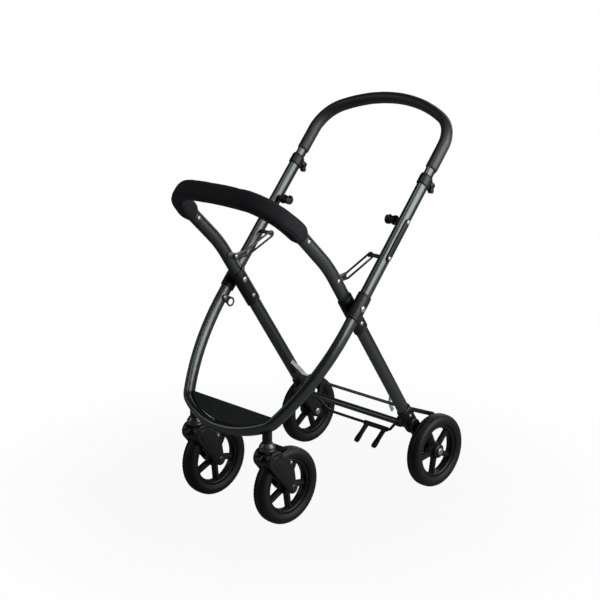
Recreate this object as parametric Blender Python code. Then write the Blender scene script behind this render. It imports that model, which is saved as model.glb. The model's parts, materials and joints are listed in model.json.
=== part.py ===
"""Folding stroller frame: a scissor of oval tubes on four wheels, in metres, +Z up.

The front of the frame faces -Y and the floor is z = 0. Left and right are those of a
viewer in front of it, so right is +X. The front tube leans back from the front castors
to the push handle, the rear legs lean forward from the rear wheels to the bumper bar,
and both cross at the fold pivot.
"""
from math import atan2, cos, pi, radians, sin, sqrt

import bmesh
import bpy
from mathutils import Matrix, Vector

# Whole frame
PIVOT_Y = -0.0591
PIVOT_Z = 0.5205
FRONT_LEAN = radians(39.76)
REAR_LEAN = radians(34.62)
FRONT_TUBE_X = 0.2160
REAR_TUBE_X = 0.1855

# Clearances
GAP = 0.0003
RUNNING = 0.0003
SLIDING = 0.0004

# Oval tubes: half sizes across, the wide one in the plane of the side
TUBE_WIDE = 0.0175
TUBE_NARROW = 0.01125
TUBE_WALL = 0.0015

# Front tube
FRONT_TOP = 0.3620
FRONT_FLARE_START = 0.0500
FRONT_FLARE_RADIUS = 0.6000
FRONT_CORNER_RADIUS = 0.0450
FRONT_BOW_RADIUS = 0.2650
FRONT_BOW_END = 0.3766

# Telescopic handle
HANDLE_BOTTOM = 0.2520
HANDLE_TOP = 0.5784
HANDLE_BOW_RADIUS = 0.3646
HANDLE_CORNER_RADIUS = 0.0920
GRIP_START = 0.3900
GRIP_WIDE = 0.0172
GRIP_NARROW = 0.0132
GRIP_END_SOFT = 0.0030

# Rear legs and bumper bar
BUMPER_ARC_START = 0.0930
BUMPER_ARC_RADIUS = 0.3248
BUMPER_RISE = radians(43.5)
BUMPER_CORNER_RADIUS = 0.1100
BUMPER_BOW_RADIUS = 0.8000
BUMPER_DEPTH = 0.2110
LEG_RUN_END = 0.0840
BUMPER_INSERT = 0.0600
BUMPER_RIVET_BACK = 0.0120
PAD_WIDE = 0.0235
PAD_NARROW = 0.0190
PAD_END_WIDE = 0.0200
PAD_END_NARROW = 0.0155
PAD_DRAWN_IN = 0.0300
PAD_GAP = 0.0010

# Wheels
WHEEL_RADIUS = 0.0950
TYRE_HALF_WIDTH = 0.0195
TYRE_INNER_RADIUS = 0.0665
RIM_HALF_WIDTH = 0.0120
RIM_RING = 0.0060
HUB_RADIUS = 0.0190
HUB_HALF_WIDTH = 0.0190
WEB_HALF_WIDTH = 0.0050
SPOKE_COUNT = 5
SPOKE_WIDTH = 0.0150
WINDOW_MARGIN = 0.0015
FRONT_TURNS = {-1: radians(23.8), 1: radians(26.8)}
REAR_TURNS = {-1: radians(38.0), 1: radians(8.5)}
AXLE_RADIUS = 0.0050
REAR_WHEEL_X = 0.2250
AXLE_HEAD_RADIUS = 0.0090
AXLE_HEAD = 0.0022

# Front castors
CASTOR_X = 0.1275
CASTOR_SET_BACK = 0.0115
CASTOR_TRAIL = 0.0620
FORK_SIDE_CLEARANCE = 0.0025
FORK_ARM = 0.0060
FORK_TYRE_CLEARANCE = 0.0040
FENDER_THICKNESS = 0.0040
FORK_BOSS_RADIUS = 0.0150
CROWN_TOP = 0.1040
CROWN_SHIFT = 0.0040
CROWN_RADIUS = 0.0240
CROWN_HEIGHT = 0.0220
CROWN_SEAT_RADIUS = 0.0215
FENDER_FROM = radians(97.0)
FENDER_TO = radians(130.0)
FORK_WING_BACK = 0.0084
FORK_WING_UP = 0.0660
FORK_WING_RADIUS = 0.0090
FORK_STEP = 0.0010
COLLAR_RADIUS = 0.0195
COLLAR_HEIGHT = 0.0190
STEM_RADIUS = 0.0060
SOCKET_RADIUS = 0.0118
STEM_ENGAGEMENT = 0.0140
SOCKET_TOP_DROP = 0.0030

# Swivel lock lever in the front of each fork crown
LOCK_HALF_WIDTH = 0.0080
LOCK_ROOT_RADIUS = 0.0060
LOCK_TIP_RADIUS = 0.0065
LOCK_REACH = 0.0150
LOCK_LEAN = radians(25.0)
LOCK_SET_FORWARD = 0.0140
LOCK_DOWN = 0.0100
LOCK_PIN_RADIUS = 0.0020
LOCK_PIN_END = 0.0040
LOCK_POCKET_DOWN = -0.0100

# Fold pivot and its housings
PIVOT_BOLT_RADIUS = 0.0050
BOLT_HEAD_RADIUS = 0.0080
BOLT_HEAD = 0.0025
HOUSING_WALL = 0.0030
FRONT_HOUSING_UP = 0.0360
FRONT_HOUSING_DOWN = 0.0320
REAR_HOUSING_UP = 0.0280
REAR_HOUSING_DOWN = 0.0800
RIVET_RADIUS = 0.0030
RIVET_HEAD_RADIUS = 0.0055
RIVET_HEAD = 0.0018
HOUSING_RIVET_DOWN = 0.0560

# Fold links
LINK_PIN_UP = 0.1398
EAR_RIVET_UP = 0.0847
LINK_EYE_UP = 0.0708
LINK_EYE_BACK = 0.0118
LINK_THICKNESS = 0.0030
LINK_BAR = 0.0044
LINK_SLOT_HALF = 0.0052
LINK_SLOT_TILT = radians(4.3)
LINK_SLOT_DROP = 0.0120
LINK_EYE_RADIUS = 0.0080
LINK_SOLID = 0.0400
EAR_THICKNESS = 0.0020
EAR_RADIUS = 0.0085
EYE_PIN_RADIUS = 0.0025
LINK_PIN_RADIUS = 0.00225
LINK_SPACER_RADIUS = 0.0050

# Side plates and seat studs
STUD_UP = 0.2413
PLATE_HALF_WIDTH = 0.0078
PLATE_THICKNESS = 0.0030
STUD_ARM_RADIUS = 0.0045
STUD_KNOB_RADIUS = 0.0122
STUD_KNOB_LENGTH = 0.0270
STUD_ARM_LENGTH = 0.0120
STUD_WAIST_RADIUS = 0.0090

# Handle collars and the release levers on their backs
COLLAR_WALL = 0.0026
HANDLE_COLLAR_DOWN = 0.0190
HANDLE_COLLAR_UP = 0.0095
LEVER_PIVOT_DOWN = 0.0000
LEVER_PIVOT_BACK = 0.0265
LEVER_ROOT_RADIUS = 0.0055
LEVER_TIP_RADIUS = 0.0055
LEVER_LENGTH = 0.0140
LEVER_LEAN = radians(40.0)
LEVER_HALF_WIDTH = 0.0060
LEVER_CHEEK = 0.0030
LEVER_PIN_RADIUS = 0.0018

# Storage latch on the left hand tubes
LATCH_DOWN = 0.0597
LATCH_REACH = 0.0240
LATCH_DROP = radians(37.0)
LATCH_THICKNESS = 0.0020
LATCH_ROOT_RADIUS = 0.0080
LATCH_EYE_RADIUS = 0.0125
LATCH_HOLE_RADIUS = 0.0078
LATCH_STANDOFF = 0.0006
LATCH_STUD_DOWN = 0.0678
LATCH_STUD_LENGTH = 0.0040
LATCH_STUD_RADIUS = 0.0036

# Rear brackets, bars and brake
BRACKET_UP = 0.3700
BRACKET_LEG_DEPTH = 0.0450
BRACKET_DEPTH = 0.0760
BRACKET_WALL = 0.0032
BRACKET_WEB = 0.0130
BRACKET_BOSS_RADIUS = 0.0160
BRACKET_ARM_RADIUS = 0.0055
BRACKET_WHEEL_GAP = 0.0045
BRACE_BACK = 0.0200
BRACE_UP = 0.0850
BAR_BOSS_STEP = 0.0015
CROSS_BAR_RADIUS = 0.0085
CROSS_BAR_UP = 0.3970
CROSS_BAR_FORWARD = 0.0245
CROSS_WIRE_RADIUS = 0.0040
CROSS_WIRE_UP = 0.3436
CROSS_WIRE_FORWARD = 0.0120
BAR_INSERT = 0.0080
BRAKE_UP = 0.4343
BRAKE_FORWARD = 0.0088
BRAKE_ROD_RADIUS = 0.0038
BRAKE_CRANK = 0.0340
BRAKE_CRANK_LEAN = radians(24.0)
BRAKE_CRANK_X = 0.1060
BRAKE_END_X = 0.1380
BRAKE_SLEEVE_RADIUS = 0.0065
PEDAL_FIRST_X = 0.0300
PEDAL_SPACING = 0.0600
PEDAL_LENGTH = 0.0600
PEDAL_HALF_WIDTH = 0.0075
PEDAL_RADIUS = 0.0055
PEDAL_LEAN = radians(48.0)

# Footrest panel
FOOTREST_EDGE = 0.3139
FOOTREST_THICKNESS = 0.0050
FOOTREST_GAP = 0.0004

# Grey basket straps
STRAP_WIDTH = 0.0110
STRAP_THICKNESS = 0.0014
STRAP_TOP = 0.3060
STRAP_BOTTOM = 0.3840
STRAP_BACK = 0.0000
STRAP_REACH = 0.0270

# Faceting
TUBE_SIDES = 12
PIN_SIDES = 12
ROD_SIDES = 8
TURNED_SIDES = 16
WHEEL_SIDES = 24
BEND_STEP = radians(15.0)
WELD = 0.00002

X_AXIS = Vector((1.0, 0.0, 0.0))
PIVOT = Vector((0.0, PIVOT_Y, PIVOT_Z))
FRONT_UP = Vector((0.0, sin(FRONT_LEAN), cos(FRONT_LEAN)))
FRONT_BACK = Vector((0.0, cos(FRONT_LEAN), -sin(FRONT_LEAN)))
REAR_UP = Vector((0.0, -sin(REAR_LEAN), cos(REAR_LEAN)))
REAR_BACK = Vector((0.0, cos(REAR_LEAN), sin(REAR_LEAN)))
BUMPER_UP = Vector((0.0, -cos(BUMPER_RISE), sin(BUMPER_RISE)))
SIDES = {"left": -1, "right": 1}


def front_point(x, up, back=0.0):
    """A point in the plane of the front tube, measured up from the fold pivot."""
    return PIVOT + X_AXIS * x + FRONT_UP * up + FRONT_BACK * back


def rear_point(x, up, back=0.0):
    """A point in the plane of the rear legs, measured up from the fold pivot."""
    return PIVOT + X_AXIS * x + REAR_UP * up + REAR_BACK * back


# Places that several pieces share
REAR_AXLE_UP = -(PIVOT_Z - WHEEL_RADIUS) / cos(REAR_LEAN)
REAR_AXLE = rear_point(0.0, REAR_AXLE_UP)
BOW_CENTRE = FRONT_BOW_END - FRONT_BOW_RADIUS
CASTOR_DOWN = BOW_CENTRE + sqrt(FRONT_BOW_RADIUS ** 2 - CASTOR_X ** 2)
CASTOR_AXIS_Y = front_point(0.0, -CASTOR_DOWN).y + CASTOR_SET_BACK
FRONT_AXLE = Vector((0.0, CASTOR_AXIS_Y + CASTOR_TRAIL, WHEEL_RADIUS))
CROWN_TOP_Z = WHEEL_RADIUS + CROWN_TOP
COLLAR_BASE_Z = CROWN_TOP_Z + GAP
SOCKET_BASE_Z = COLLAR_BASE_Z + COLLAR_HEIGHT + GAP
FORK_INNER = TYRE_HALF_WIDTH + FORK_SIDE_CLEARANCE
FORK_OUTER = FORK_INNER + FORK_ARM
FORK_BORE_RADIUS = WHEEL_RADIUS + FORK_TYRE_CLEARANCE
FENDER_RADIUS = FORK_BORE_RADIUS + FENDER_THICKNESS
LOCK_PIVOT = Vector((0.0, CASTOR_AXIS_Y - LOCK_SET_FORWARD, CROWN_TOP_Z - LOCK_DOWN))
TUBE_BORE = (TUBE_WIDE - TUBE_WALL, TUBE_NARROW - TUBE_WALL)
INNER_TUBE = (TUBE_BORE[0] - SLIDING, TUBE_BORE[1] - SLIDING)
HOUSING_HALF = (TUBE_WIDE + GAP + HOUSING_WALL, TUBE_NARROW + GAP + HOUSING_WALL)
LINK_PIVOT = rear_point(0.0, LINK_EYE_UP, LINK_EYE_BACK)
LINK_PIN = front_point(0.0, LINK_PIN_UP)
LATCH_PIVOT = front_point(0.0, -LATCH_DOWN)
LATCH_STUD = rear_point(0.0, -LATCH_STUD_DOWN)
CROSS_BAR = rear_point(0.0, -CROSS_BAR_UP, -CROSS_BAR_FORWARD)
CROSS_WIRE = rear_point(0.0, -CROSS_WIRE_UP, -CROSS_WIRE_FORWARD)
BRAKE_AXIS = rear_point(0.0, -BRAKE_UP, -BRAKE_FORWARD)
LEVER_PIVOT = front_point(0.0, FRONT_TOP - LEVER_PIVOT_DOWN, LEVER_PIVOT_BACK)
BRACKET_INNER_X = REAR_TUBE_X - TUBE_NARROW - GAP - BRACKET_WALL
BRACKET_OUTER_X = REAR_WHEEL_X - HUB_HALF_WIDTH - BRACKET_WHEEL_GAP


def clear_scene():
    """Removes every object that the new file starts with."""
    for item in list(bpy.data.objects):
        bpy.data.objects.remove(item, do_unlink=True)


def make_material(name, colour, roughness, metallic):
    """One Principled BSDF material."""
    material = bpy.data.materials.new(name)
    material.use_nodes = True
    shader = material.node_tree.nodes["Principled BSDF"]
    shader.inputs["Base Color"].default_value = (*colour, 1.0)
    shader.inputs["Roughness"].default_value = roughness
    shader.inputs["Metallic"].default_value = metallic
    material.diffuse_color = (*colour, 1.0)
    return material


def new_object(name, vertices, faces):
    """A mesh object in world coordinates with its faces pointing outwards."""
    mesh = bpy.data.meshes.new(name)
    mesh.from_pydata([tuple(v) for v in vertices], [], faces)
    work = bmesh.new()
    work.from_mesh(mesh)
    bmesh.ops.recalc_face_normals(work, faces=work.faces)
    work.to_mesh(mesh)
    work.free()
    item = bpy.data.objects.new(name, mesh)
    bpy.context.scene.collection.objects.link(item)
    return item


def loft(name, rings, closed=False):
    """Skins a list of equal rings, with flat ends or, when closed, back to the first ring."""
    count = len(rings[0])
    vertices = [point for ring in rings for point in ring]
    faces = []
    spans = len(rings) if closed else len(rings) - 1
    for i in range(spans):
        here = i * count
        there = (i + 1) % len(rings) * count
        for k in range(count):
            after = (k + 1) % count
            faces.append((here + k, here + after, there + after, there + k))
    if not closed:
        faces.append(tuple(range(count)))
        faces.append(tuple(range(len(vertices) - count, len(vertices))))
    return new_object(name, vertices, faces)


def oval_ring(centre, wide_axis, narrow_axis, half, sides=TUBE_SIDES):
    """Points of an oval across a tube."""
    points = []
    for k in range(sides):
        angle = 2.0 * pi * k / sides
        points.append(centre + wide_axis * (half[0] * cos(angle)) + narrow_axis * (half[1] * sin(angle)))
    return points


def frames_along(path, narrow_start):
    """Tangent, wide and narrow directions carried along a path without twist."""
    frames = []
    narrow = narrow_start.normalized()
    for i, point in enumerate(path):
        before = path[max(i - 1, 0)]
        after = path[min(i + 1, len(path) - 1)]
        incoming = (point - before).normalized() if i else (after - point).normalized()
        outgoing = (after - point).normalized() if i < len(path) - 1 else incoming
        tangent = (incoming + outgoing).normalized()
        narrow = (narrow - tangent * narrow.dot(tangent)).normalized()
        frames.append((point, tangent, tangent.cross(narrow).normalized(), narrow))
    return frames


def oval_tube(name, path, narrow_start, outer, bore=None, sides=TUBE_SIDES):
    """An oval tube along a path. outer and bore are half sizes across, and outer may be a
    function of the distance from the nearer end."""
    frames = frames_along(path, narrow_start)
    places = [0.0]
    for before, after in zip(path, path[1:]):
        places.append(places[-1] + (after - before).length)
    rings = []
    for place, (point, _, wide, narrow) in zip(places, frames):
        half = outer(min(place, places[-1] - place)) if callable(outer) else outer
        rings.append(oval_ring(point, wide, narrow, half, sides))
    if bore is None:
        return loft(name, rings)
    inner = [oval_ring(p, wide, narrow, bore, sides) for p, _, wide, narrow in frames]
    return loft(name, rings + inner[::-1], closed=True)


def oval_sleeve(name, base, up, profile):
    """A sleeve round a straight oval tube from a closed profile of (up, wide, narrow)."""
    wide_axis = up.cross(X_AXIS).normalized()
    rings = [oval_ring(base + up * rise, wide_axis, X_AXIS, (wide, narrow)) for rise, wide, narrow in profile]
    return loft(name, rings, closed=True)


def turned(name, base, axis, profile, sides=PIN_SIDES, closed=False, flats=False):
    """A turned piece from a profile of (along, radius). Open profiles end in flat discs.
    With flats, the radii are those of the facets and a facet faces each way along the axes."""
    axis = axis.normalized()
    helper = Vector((0.0, 0.0, 1.0)) if abs(axis.z) < 0.9 else X_AXIS
    first = axis.cross(helper).normalized()
    second = axis.cross(first).normalized()
    if flats:
        half = pi / sides
        first, second = first * cos(half) + second * sin(half), second * cos(half) - first * sin(half)
    rings = []
    for along, radius in profile:
        reach = radius / cos(pi / sides) if flats else radius
        rings.append(oval_ring(base + axis * along, first, second, (reach, reach), sides))
    return loft(name, rings, closed)


def bar(name, start, end, radius, sides=PIN_SIDES):
    """A plain round bar between two points."""
    axis = end - start
    return turned(name, start, axis, [(0.0, radius), (axis.length, radius)], sides)


def prism(name, outline, depth):
    """Extrudes a flat outline of 3-D points along a vector."""
    return loft(name, [outline, [point + depth for point in outline]])


def side_plate_outline(start, start_radius, end, end_radius, x, steps=6):
    """Two circles in a side plane joined by their outer tangents."""
    along = end - start
    base = atan2(along.z, along.y)
    tip = (start_radius - end_radius) / along.length
    spread = pi / 2.0 - tip
    points = []
    for k in range(steps + 1):
        angle = base - spread + 2.0 * spread * k / steps
        points.append(Vector((x, end.y + end_radius * cos(angle), end.z + end_radius * sin(angle))))
    for k in range(steps + 1):
        angle = base + spread + (2.0 * pi - 2.0 * spread) * k / steps
        points.append(Vector((x, start.y + start_radius * cos(angle), start.z + start_radius * sin(angle))))
    return points


def capsule_plate(name, start, start_radius, end, end_radius, x_from, x_to):
    """A tapered plate with round ends, flat to the side of the frame."""
    outline = side_plate_outline(start, start_radius, end, end_radius, x_from)
    return prism(name, outline, X_AXIS * (x_to - x_from))


def combine(target, tool, operation):
    """Applies an exact boolean and removes the tool."""
    modifier = target.modifiers.new("boolean", "BOOLEAN")
    modifier.operation = operation
    modifier.solver = "EXACT"
    modifier.object = tool
    graph = bpy.context.evaluated_depsgraph_get()
    mesh = bpy.data.meshes.new_from_object(target.evaluated_get(graph))
    target.modifiers.clear()
    old = target.data
    target.data = mesh
    bpy.data.meshes.remove(old)
    bpy.data.objects.remove(tool, do_unlink=True)
    return target


def join(target, *tools):
    """Unites several solids into the first."""
    for tool in tools:
        combine(target, tool, "UNION")
    return target


def cut(target, *tools):
    """Takes several solids out of the first."""
    for tool in tools:
        combine(target, tool, "DIFFERENCE")
    return target


def cross_hole(place, radius, x_from, x_to):
    """A round cutter along X through a point of the side view."""
    start = Vector((x_from, place.y, place.z))
    end = Vector((x_to, place.y, place.z))
    return bar("cutter", start, end, radius)


def arc(centre, radius, start, end, steps):
    """Points of an arc after its first one, as (across, along)."""
    points = []
    for k in range(1, steps + 1):
        angle = start + (end - start) * k / steps
        points.append((centre[0] + radius * cos(angle), centre[1] + radius * sin(angle)))
    return points


def circles_meet(first, first_radius, second, second_radius):
    """The meeting point of two circles that lies furthest along."""
    dx = second[0] - first[0]
    dy = second[1] - first[1]
    apart = sqrt(dx * dx + dy * dy)
    along = (first_radius ** 2 - second_radius ** 2 + apart ** 2) / (2.0 * apart)
    across = sqrt(first_radius ** 2 - along ** 2)
    return (first[0] + (dx * along - dy * across) / apart, first[1] + (dy * along + dx * across) / apart)


def u_bend(half_width, leg_end, bow_end, bow_radius, corner_radius, flare=None):
    """A U as (across, along) points: a bow, two corners and two legs that may flare."""
    bow = (0.0, bow_end - bow_radius)
    reach = bow_radius - corner_radius
    leg_angle = 0.0
    if flare:
        flare_radius, flare_start = flare
        hinge = (half_width - flare_radius, flare_start)
        corner = circles_meet(hinge, flare_radius - corner_radius, bow, reach)
        leg_angle = atan2(corner[1] - hinge[1], corner[0] - hinge[0])
    else:
        across = half_width - corner_radius
        corner = (across, bow[1] + sqrt(reach ** 2 - across ** 2))
    bow_angle = atan2(corner[1] - bow[1], corner[0] - bow[0])
    corner_steps = max(3, round((bow_angle - leg_angle) / BEND_STEP))
    half = [(0.0, bow_end)]
    half += arc(bow, bow_radius, pi / 2.0, bow_angle, 3)
    half += arc(corner, corner_radius, bow_angle, leg_angle, corner_steps)
    if flare:
        for part in (0.66, 0.34, 0.10, 0.0):
            angle = leg_angle * part
            half.append((hinge[0] + flare_radius * cos(angle), hinge[1] + flare_radius * sin(angle)))
    half.append((half_width, leg_end))
    return [(-x, d) for x, d in reversed(half[1:])] + half


def rear_run(x, run):
    """A point on the straight upper run of the rear legs and the bumper bar."""
    heading = pi / 2.0 - REAR_LEAN
    start = rear_point(x, BUMPER_ARC_START)
    forward = BUMPER_ARC_RADIUS * (sin(heading) - sin(BUMPER_RISE))
    rise = BUMPER_ARC_RADIUS * (cos(BUMPER_RISE) - cos(heading))
    return start + Vector((0.0, -forward, rise)) + BUMPER_UP * run


def rear_leg_path(x):
    """From the rear bracket up past the pivot and forward over the bend."""
    heading = pi / 2.0 - REAR_LEAN
    start = rear_point(x, BUMPER_ARC_START)
    path = [rear_point(x, -BRACKET_UP - BRACKET_LEG_DEPTH), start]
    steps = 3
    for k in range(1, steps + 1):
        angle = heading + (BUMPER_RISE - heading) * k / steps
        forward = BUMPER_ARC_RADIUS * (sin(heading) - sin(angle))
        rise = BUMPER_ARC_RADIUS * (cos(angle) - cos(heading))
        path.append(start + Vector((0.0, -forward, rise)))
    path.append(rear_run(x, LEG_RUN_END))
    return path


def bumper_path(start_run):
    """The bumper bar's U, from inside one rear leg to inside the other."""
    plan = u_bend(REAR_TUBE_X, start_run, BUMPER_DEPTH, BUMPER_BOW_RADIUS, BUMPER_CORNER_RADIUS)
    return [rear_run(0.0, run) + X_AXIS * x for x, run in plan]


def finish(item, material, origin=None):
    """Welds a piece, gives it its material and puts its origin on its joint axis."""
    work = bmesh.new()
    work.from_mesh(item.data)
    bmesh.ops.remove_doubles(work, verts=work.verts, dist=WELD)
    bmesh.ops.dissolve_degenerate(work, dist=WELD, edges=work.edges)
    work.to_mesh(item.data)
    work.free()
    item.data.materials.clear()
    item.data.materials.append(material)
    if origin is not None:
        item.data.transform(Matrix.Translation(-origin))
        item.location = origin
    return item


def headed_pin(name, place, x_from, x_to, radius, head_radius, head):
    """A round pin along X with a head outside each end of its grip."""
    profile = [(0.0, head_radius), (head, head_radius), (head, radius)]
    length = abs(x_to - x_from) + 2.0 * head
    profile += [(length - head, radius), (length - head, head_radius), (length, head_radius)]
    side = 1.0 if x_to > x_from else -1.0
    base = Vector((x_from - side * head, place.y, place.z))
    return turned(name, base, X_AXIS * side, profile)


def sleeve_profile(top, bottom, wall):
    """A plain sleeve round a frame tube, with softened outer edges."""
    soft = wall * 0.4
    inner = (TUBE_WIDE + GAP, TUBE_NARROW + GAP)
    outer = (inner[0] + wall, inner[1] + wall)
    return [
        (top, inner[0], inner[1]),
        (bottom, inner[0], inner[1]),
        (bottom, outer[0] - soft, outer[1] - soft),
        (bottom + soft * 2.0, outer[0], outer[1]),
        (top - soft * 2.0, outer[0], outer[1]),
        (top, outer[0] - soft, outer[1] - soft),
    ]


def make_front_tube(material):
    """One bent tube: both front legs and the bow between the castors."""
    plan = u_bend(FRONT_TUBE_X, -FRONT_TOP, FRONT_BOW_END, FRONT_BOW_RADIUS, FRONT_CORNER_RADIUS,
                  (FRONT_FLARE_RADIUS, FRONT_FLARE_START))
    path = [front_point(x, -down) for x, down in plan]
    tube = oval_tube("front_tube", path, X_AXIS, (TUBE_WIDE, TUBE_NARROW), TUBE_BORE)
    for side in SIDES.values():
        near = side * (FRONT_TUBE_X - TUBE_WIDE)
        far = side * (FRONT_TUBE_X + TUBE_WIDE)
        cut(tube, cross_hole(PIVOT, PIVOT_BOLT_RADIUS + GAP, near, far))
        cut(tube, cross_hole(LINK_PIN, LINK_PIN_RADIUS + GAP, near, far))
        cut(tube, cross_hole(front_point(0.0, STUD_UP), RIVET_RADIUS + GAP, near, far))
    wall_inside = -(FRONT_TUBE_X - TUBE_NARROW + TUBE_WALL * 3.0)
    cut(tube, cross_hole(LATCH_PIVOT, EYE_PIN_RADIUS + GAP, -(FRONT_TUBE_X - TUBE_WIDE), wall_inside))
    return finish(tube, material)


def make_rear_leg(word, side, material):
    """A rear leg from its bracket past the pivot to the bumper bar."""
    x = side * REAR_TUBE_X
    leg = oval_tube("rear_leg_" + word, rear_leg_path(x), X_AXIS, (TUBE_WIDE, TUBE_NARROW), TUBE_BORE)
    near = side * (REAR_TUBE_X - TUBE_WIDE)
    far = side * (REAR_TUBE_X + TUBE_WIDE)
    middle = side * REAR_TUBE_X
    cut(leg, cross_hole(PIVOT, PIVOT_BOLT_RADIUS + GAP, near, far))
    cut(leg, cross_hole(rear_point(0.0, EAR_RIVET_UP), RIVET_RADIUS + GAP, near, far))
    cut(leg, cross_hole(rear_run(0.0, LEG_RUN_END - BUMPER_RIVET_BACK), RIVET_RADIUS + GAP, near, far))
    cut(leg, cross_hole(CROSS_WIRE, CROSS_WIRE_RADIUS + GAP, near, middle))
    if side < 0:
        cut(leg, cross_hole(LATCH_STUD, EYE_PIN_RADIUS + GAP, middle, far))
    return finish(leg, material)


def make_bumper(materials):
    """The bumper bar in the open ends of the rear legs, and the pad on it."""
    tube = oval_tube("bumper_tube", bumper_path(LEG_RUN_END - BUMPER_INSERT), X_AXIS, INNER_TUBE,
                     (INNER_TUBE[0] - TUBE_WALL, INNER_TUBE[1] - TUBE_WALL))
    place = rear_run(0.0, LEG_RUN_END - BUMPER_RIVET_BACK)
    for side in SIDES.values():
        near = side * (REAR_TUBE_X - TUBE_WIDE)
        far = side * (REAR_TUBE_X + TUBE_WIDE)
        cut(tube, cross_hole(place, RIVET_RADIUS + GAP, near, far))
    finish(tube, materials["frame"])

    def pad_size(place):
        rise = sin(min(place / PAD_DRAWN_IN, 1.0) * pi / 2.0)
        wide = PAD_END_WIDE + (PAD_WIDE - PAD_END_WIDE) * rise
        narrow = PAD_END_NARROW + (PAD_NARROW - PAD_END_NARROW) * rise
        return (wide, narrow)

    path = bumper_path(LEG_RUN_END + PAD_GAP)
    ends = [path[0].lerp(path[1], part) for part in (0.3, 0.65)]
    others = [path[-1].lerp(path[-2], part) for part in (0.65, 0.3)]
    path = path[:1] + ends + path[1:-1] + others + path[-1:]
    bore = (INNER_TUBE[0] + GAP, INNER_TUBE[1] + GAP)
    pad = oval_tube("bumper_pad", path, X_AXIS, pad_size, bore)
    finish(pad, materials["pad"])


def make_bracket(word, side, material):
    """The rear bracket: leg socket, axle boss, triangular brace and bar bosses."""
    x = side * REAR_TUBE_X
    half = (TUBE_WIDE + GAP + BRACKET_WALL, TUBE_NARROW + GAP + BRACKET_WALL)
    base = rear_point(x, 0.0)
    wide_axis = REAR_UP.cross(X_AXIS).normalized()
    block = loft("rear_bracket_" + word, [
        oval_ring(base - REAR_UP * (BRACKET_UP + BRACKET_DEPTH), wide_axis, X_AXIS,
                  (half[0] * 0.8, half[1] * 0.8)),
        oval_ring(base - REAR_UP * (BRACKET_UP + BRACKET_DEPTH * 0.85), wide_axis, X_AXIS, half),
        oval_ring(base - REAR_UP * (BRACKET_UP + 0.0030), wide_axis, X_AXIS, half),
        oval_ring(base - REAR_UP * BRACKET_UP, wide_axis, X_AXIS, (half[0] - 0.0015, half[1] - 0.0015)),
    ])
    outer = side * BRACKET_OUTER_X
    inner = side * (BRACKET_OUTER_X - BRACKET_WEB)
    foot = rear_point(0.0, -BRACKET_UP - BRACKET_DEPTH * 0.75)
    spine = capsule_plate("tool", foot, BRACKET_BOSS_RADIUS, REAR_AXLE, BRACKET_BOSS_RADIUS, inner, outer)
    heel = REAR_AXLE + Vector((0.0, BRACE_BACK, BRACE_UP))
    step = side * 0.0010
    shoulder = rear_point(0.0, -BRACKET_UP - BRACKET_ARM_RADIUS * 1.5, half[0] * 0.5)
    brace = capsule_plate("tool", shoulder, BRACKET_ARM_RADIUS, heel, BRACKET_ARM_RADIUS,
                          inner + step, outer - step)
    strut = capsule_plate("tool", heel, BRACKET_ARM_RADIUS * 1.1, REAR_AXLE, BRACKET_ARM_RADIUS * 1.4,
                          inner + 2.0 * step, outer - 2.0 * step)
    boss_in = side * (BRACKET_INNER_X + BAR_BOSS_STEP)
    boss = capsule_plate("tool", CROSS_BAR, CROSS_BAR_RADIUS + BRACKET_WALL,
                         CROSS_BAR + REAR_BACK * CROSS_BAR_FORWARD * 0.5, CROSS_BAR_RADIUS + BRACKET_WALL,
                         boss_in, side * (REAR_TUBE_X + BAR_BOSS_STEP))
    join(block, spine, brace, strut, boss)
    hole = (TUBE_WIDE + GAP, TUBE_NARROW + GAP)
    socket = loft("tool", [
        oval_ring(base - REAR_UP * (BRACKET_UP + BRACKET_LEG_DEPTH + GAP), wide_axis, X_AXIS, hole),
        oval_ring(base - REAR_UP * (BRACKET_UP - 0.0200), wide_axis, X_AXIS, hole),
    ])
    bar_end = side * (BRACKET_INNER_X + BAR_BOSS_STEP + BAR_INSERT + GAP)
    bar_hole = cross_hole(CROSS_BAR, CROSS_BAR_RADIUS + GAP, side * 0.1000, bar_end)
    brake_hole = cross_hole(BRAKE_AXIS, BRAKE_ROD_RADIUS + RUNNING, side * 0.1000,
                            side * (BRACKET_INNER_X + BAR_INSERT + GAP))
    axle_hole = cross_hole(REAR_AXLE, AXLE_RADIUS + GAP, inner - side * 0.0200, outer + side * 0.0200)
    cut(block, socket, bar_hole, brake_hole, axle_hole)
    return finish(block, material)


def make_cross_bars(materials):
    """The cross bar between the brackets and the thin wire above it."""
    reach = BRACKET_INNER_X + BAR_BOSS_STEP + BAR_INSERT
    low = CROSS_BAR - X_AXIS * reach
    high = CROSS_BAR + X_AXIS * reach
    finish(bar("rear_cross_bar", low, high, CROSS_BAR_RADIUS), materials["frame"])
    reach = REAR_TUBE_X - TUBE_NARROW * 0.25
    low = CROSS_WIRE - X_AXIS * reach
    high = CROSS_WIRE + X_AXIS * reach
    finish(bar("rear_cross_wire", low, high, CROSS_WIRE_RADIUS), materials["frame"])


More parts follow.
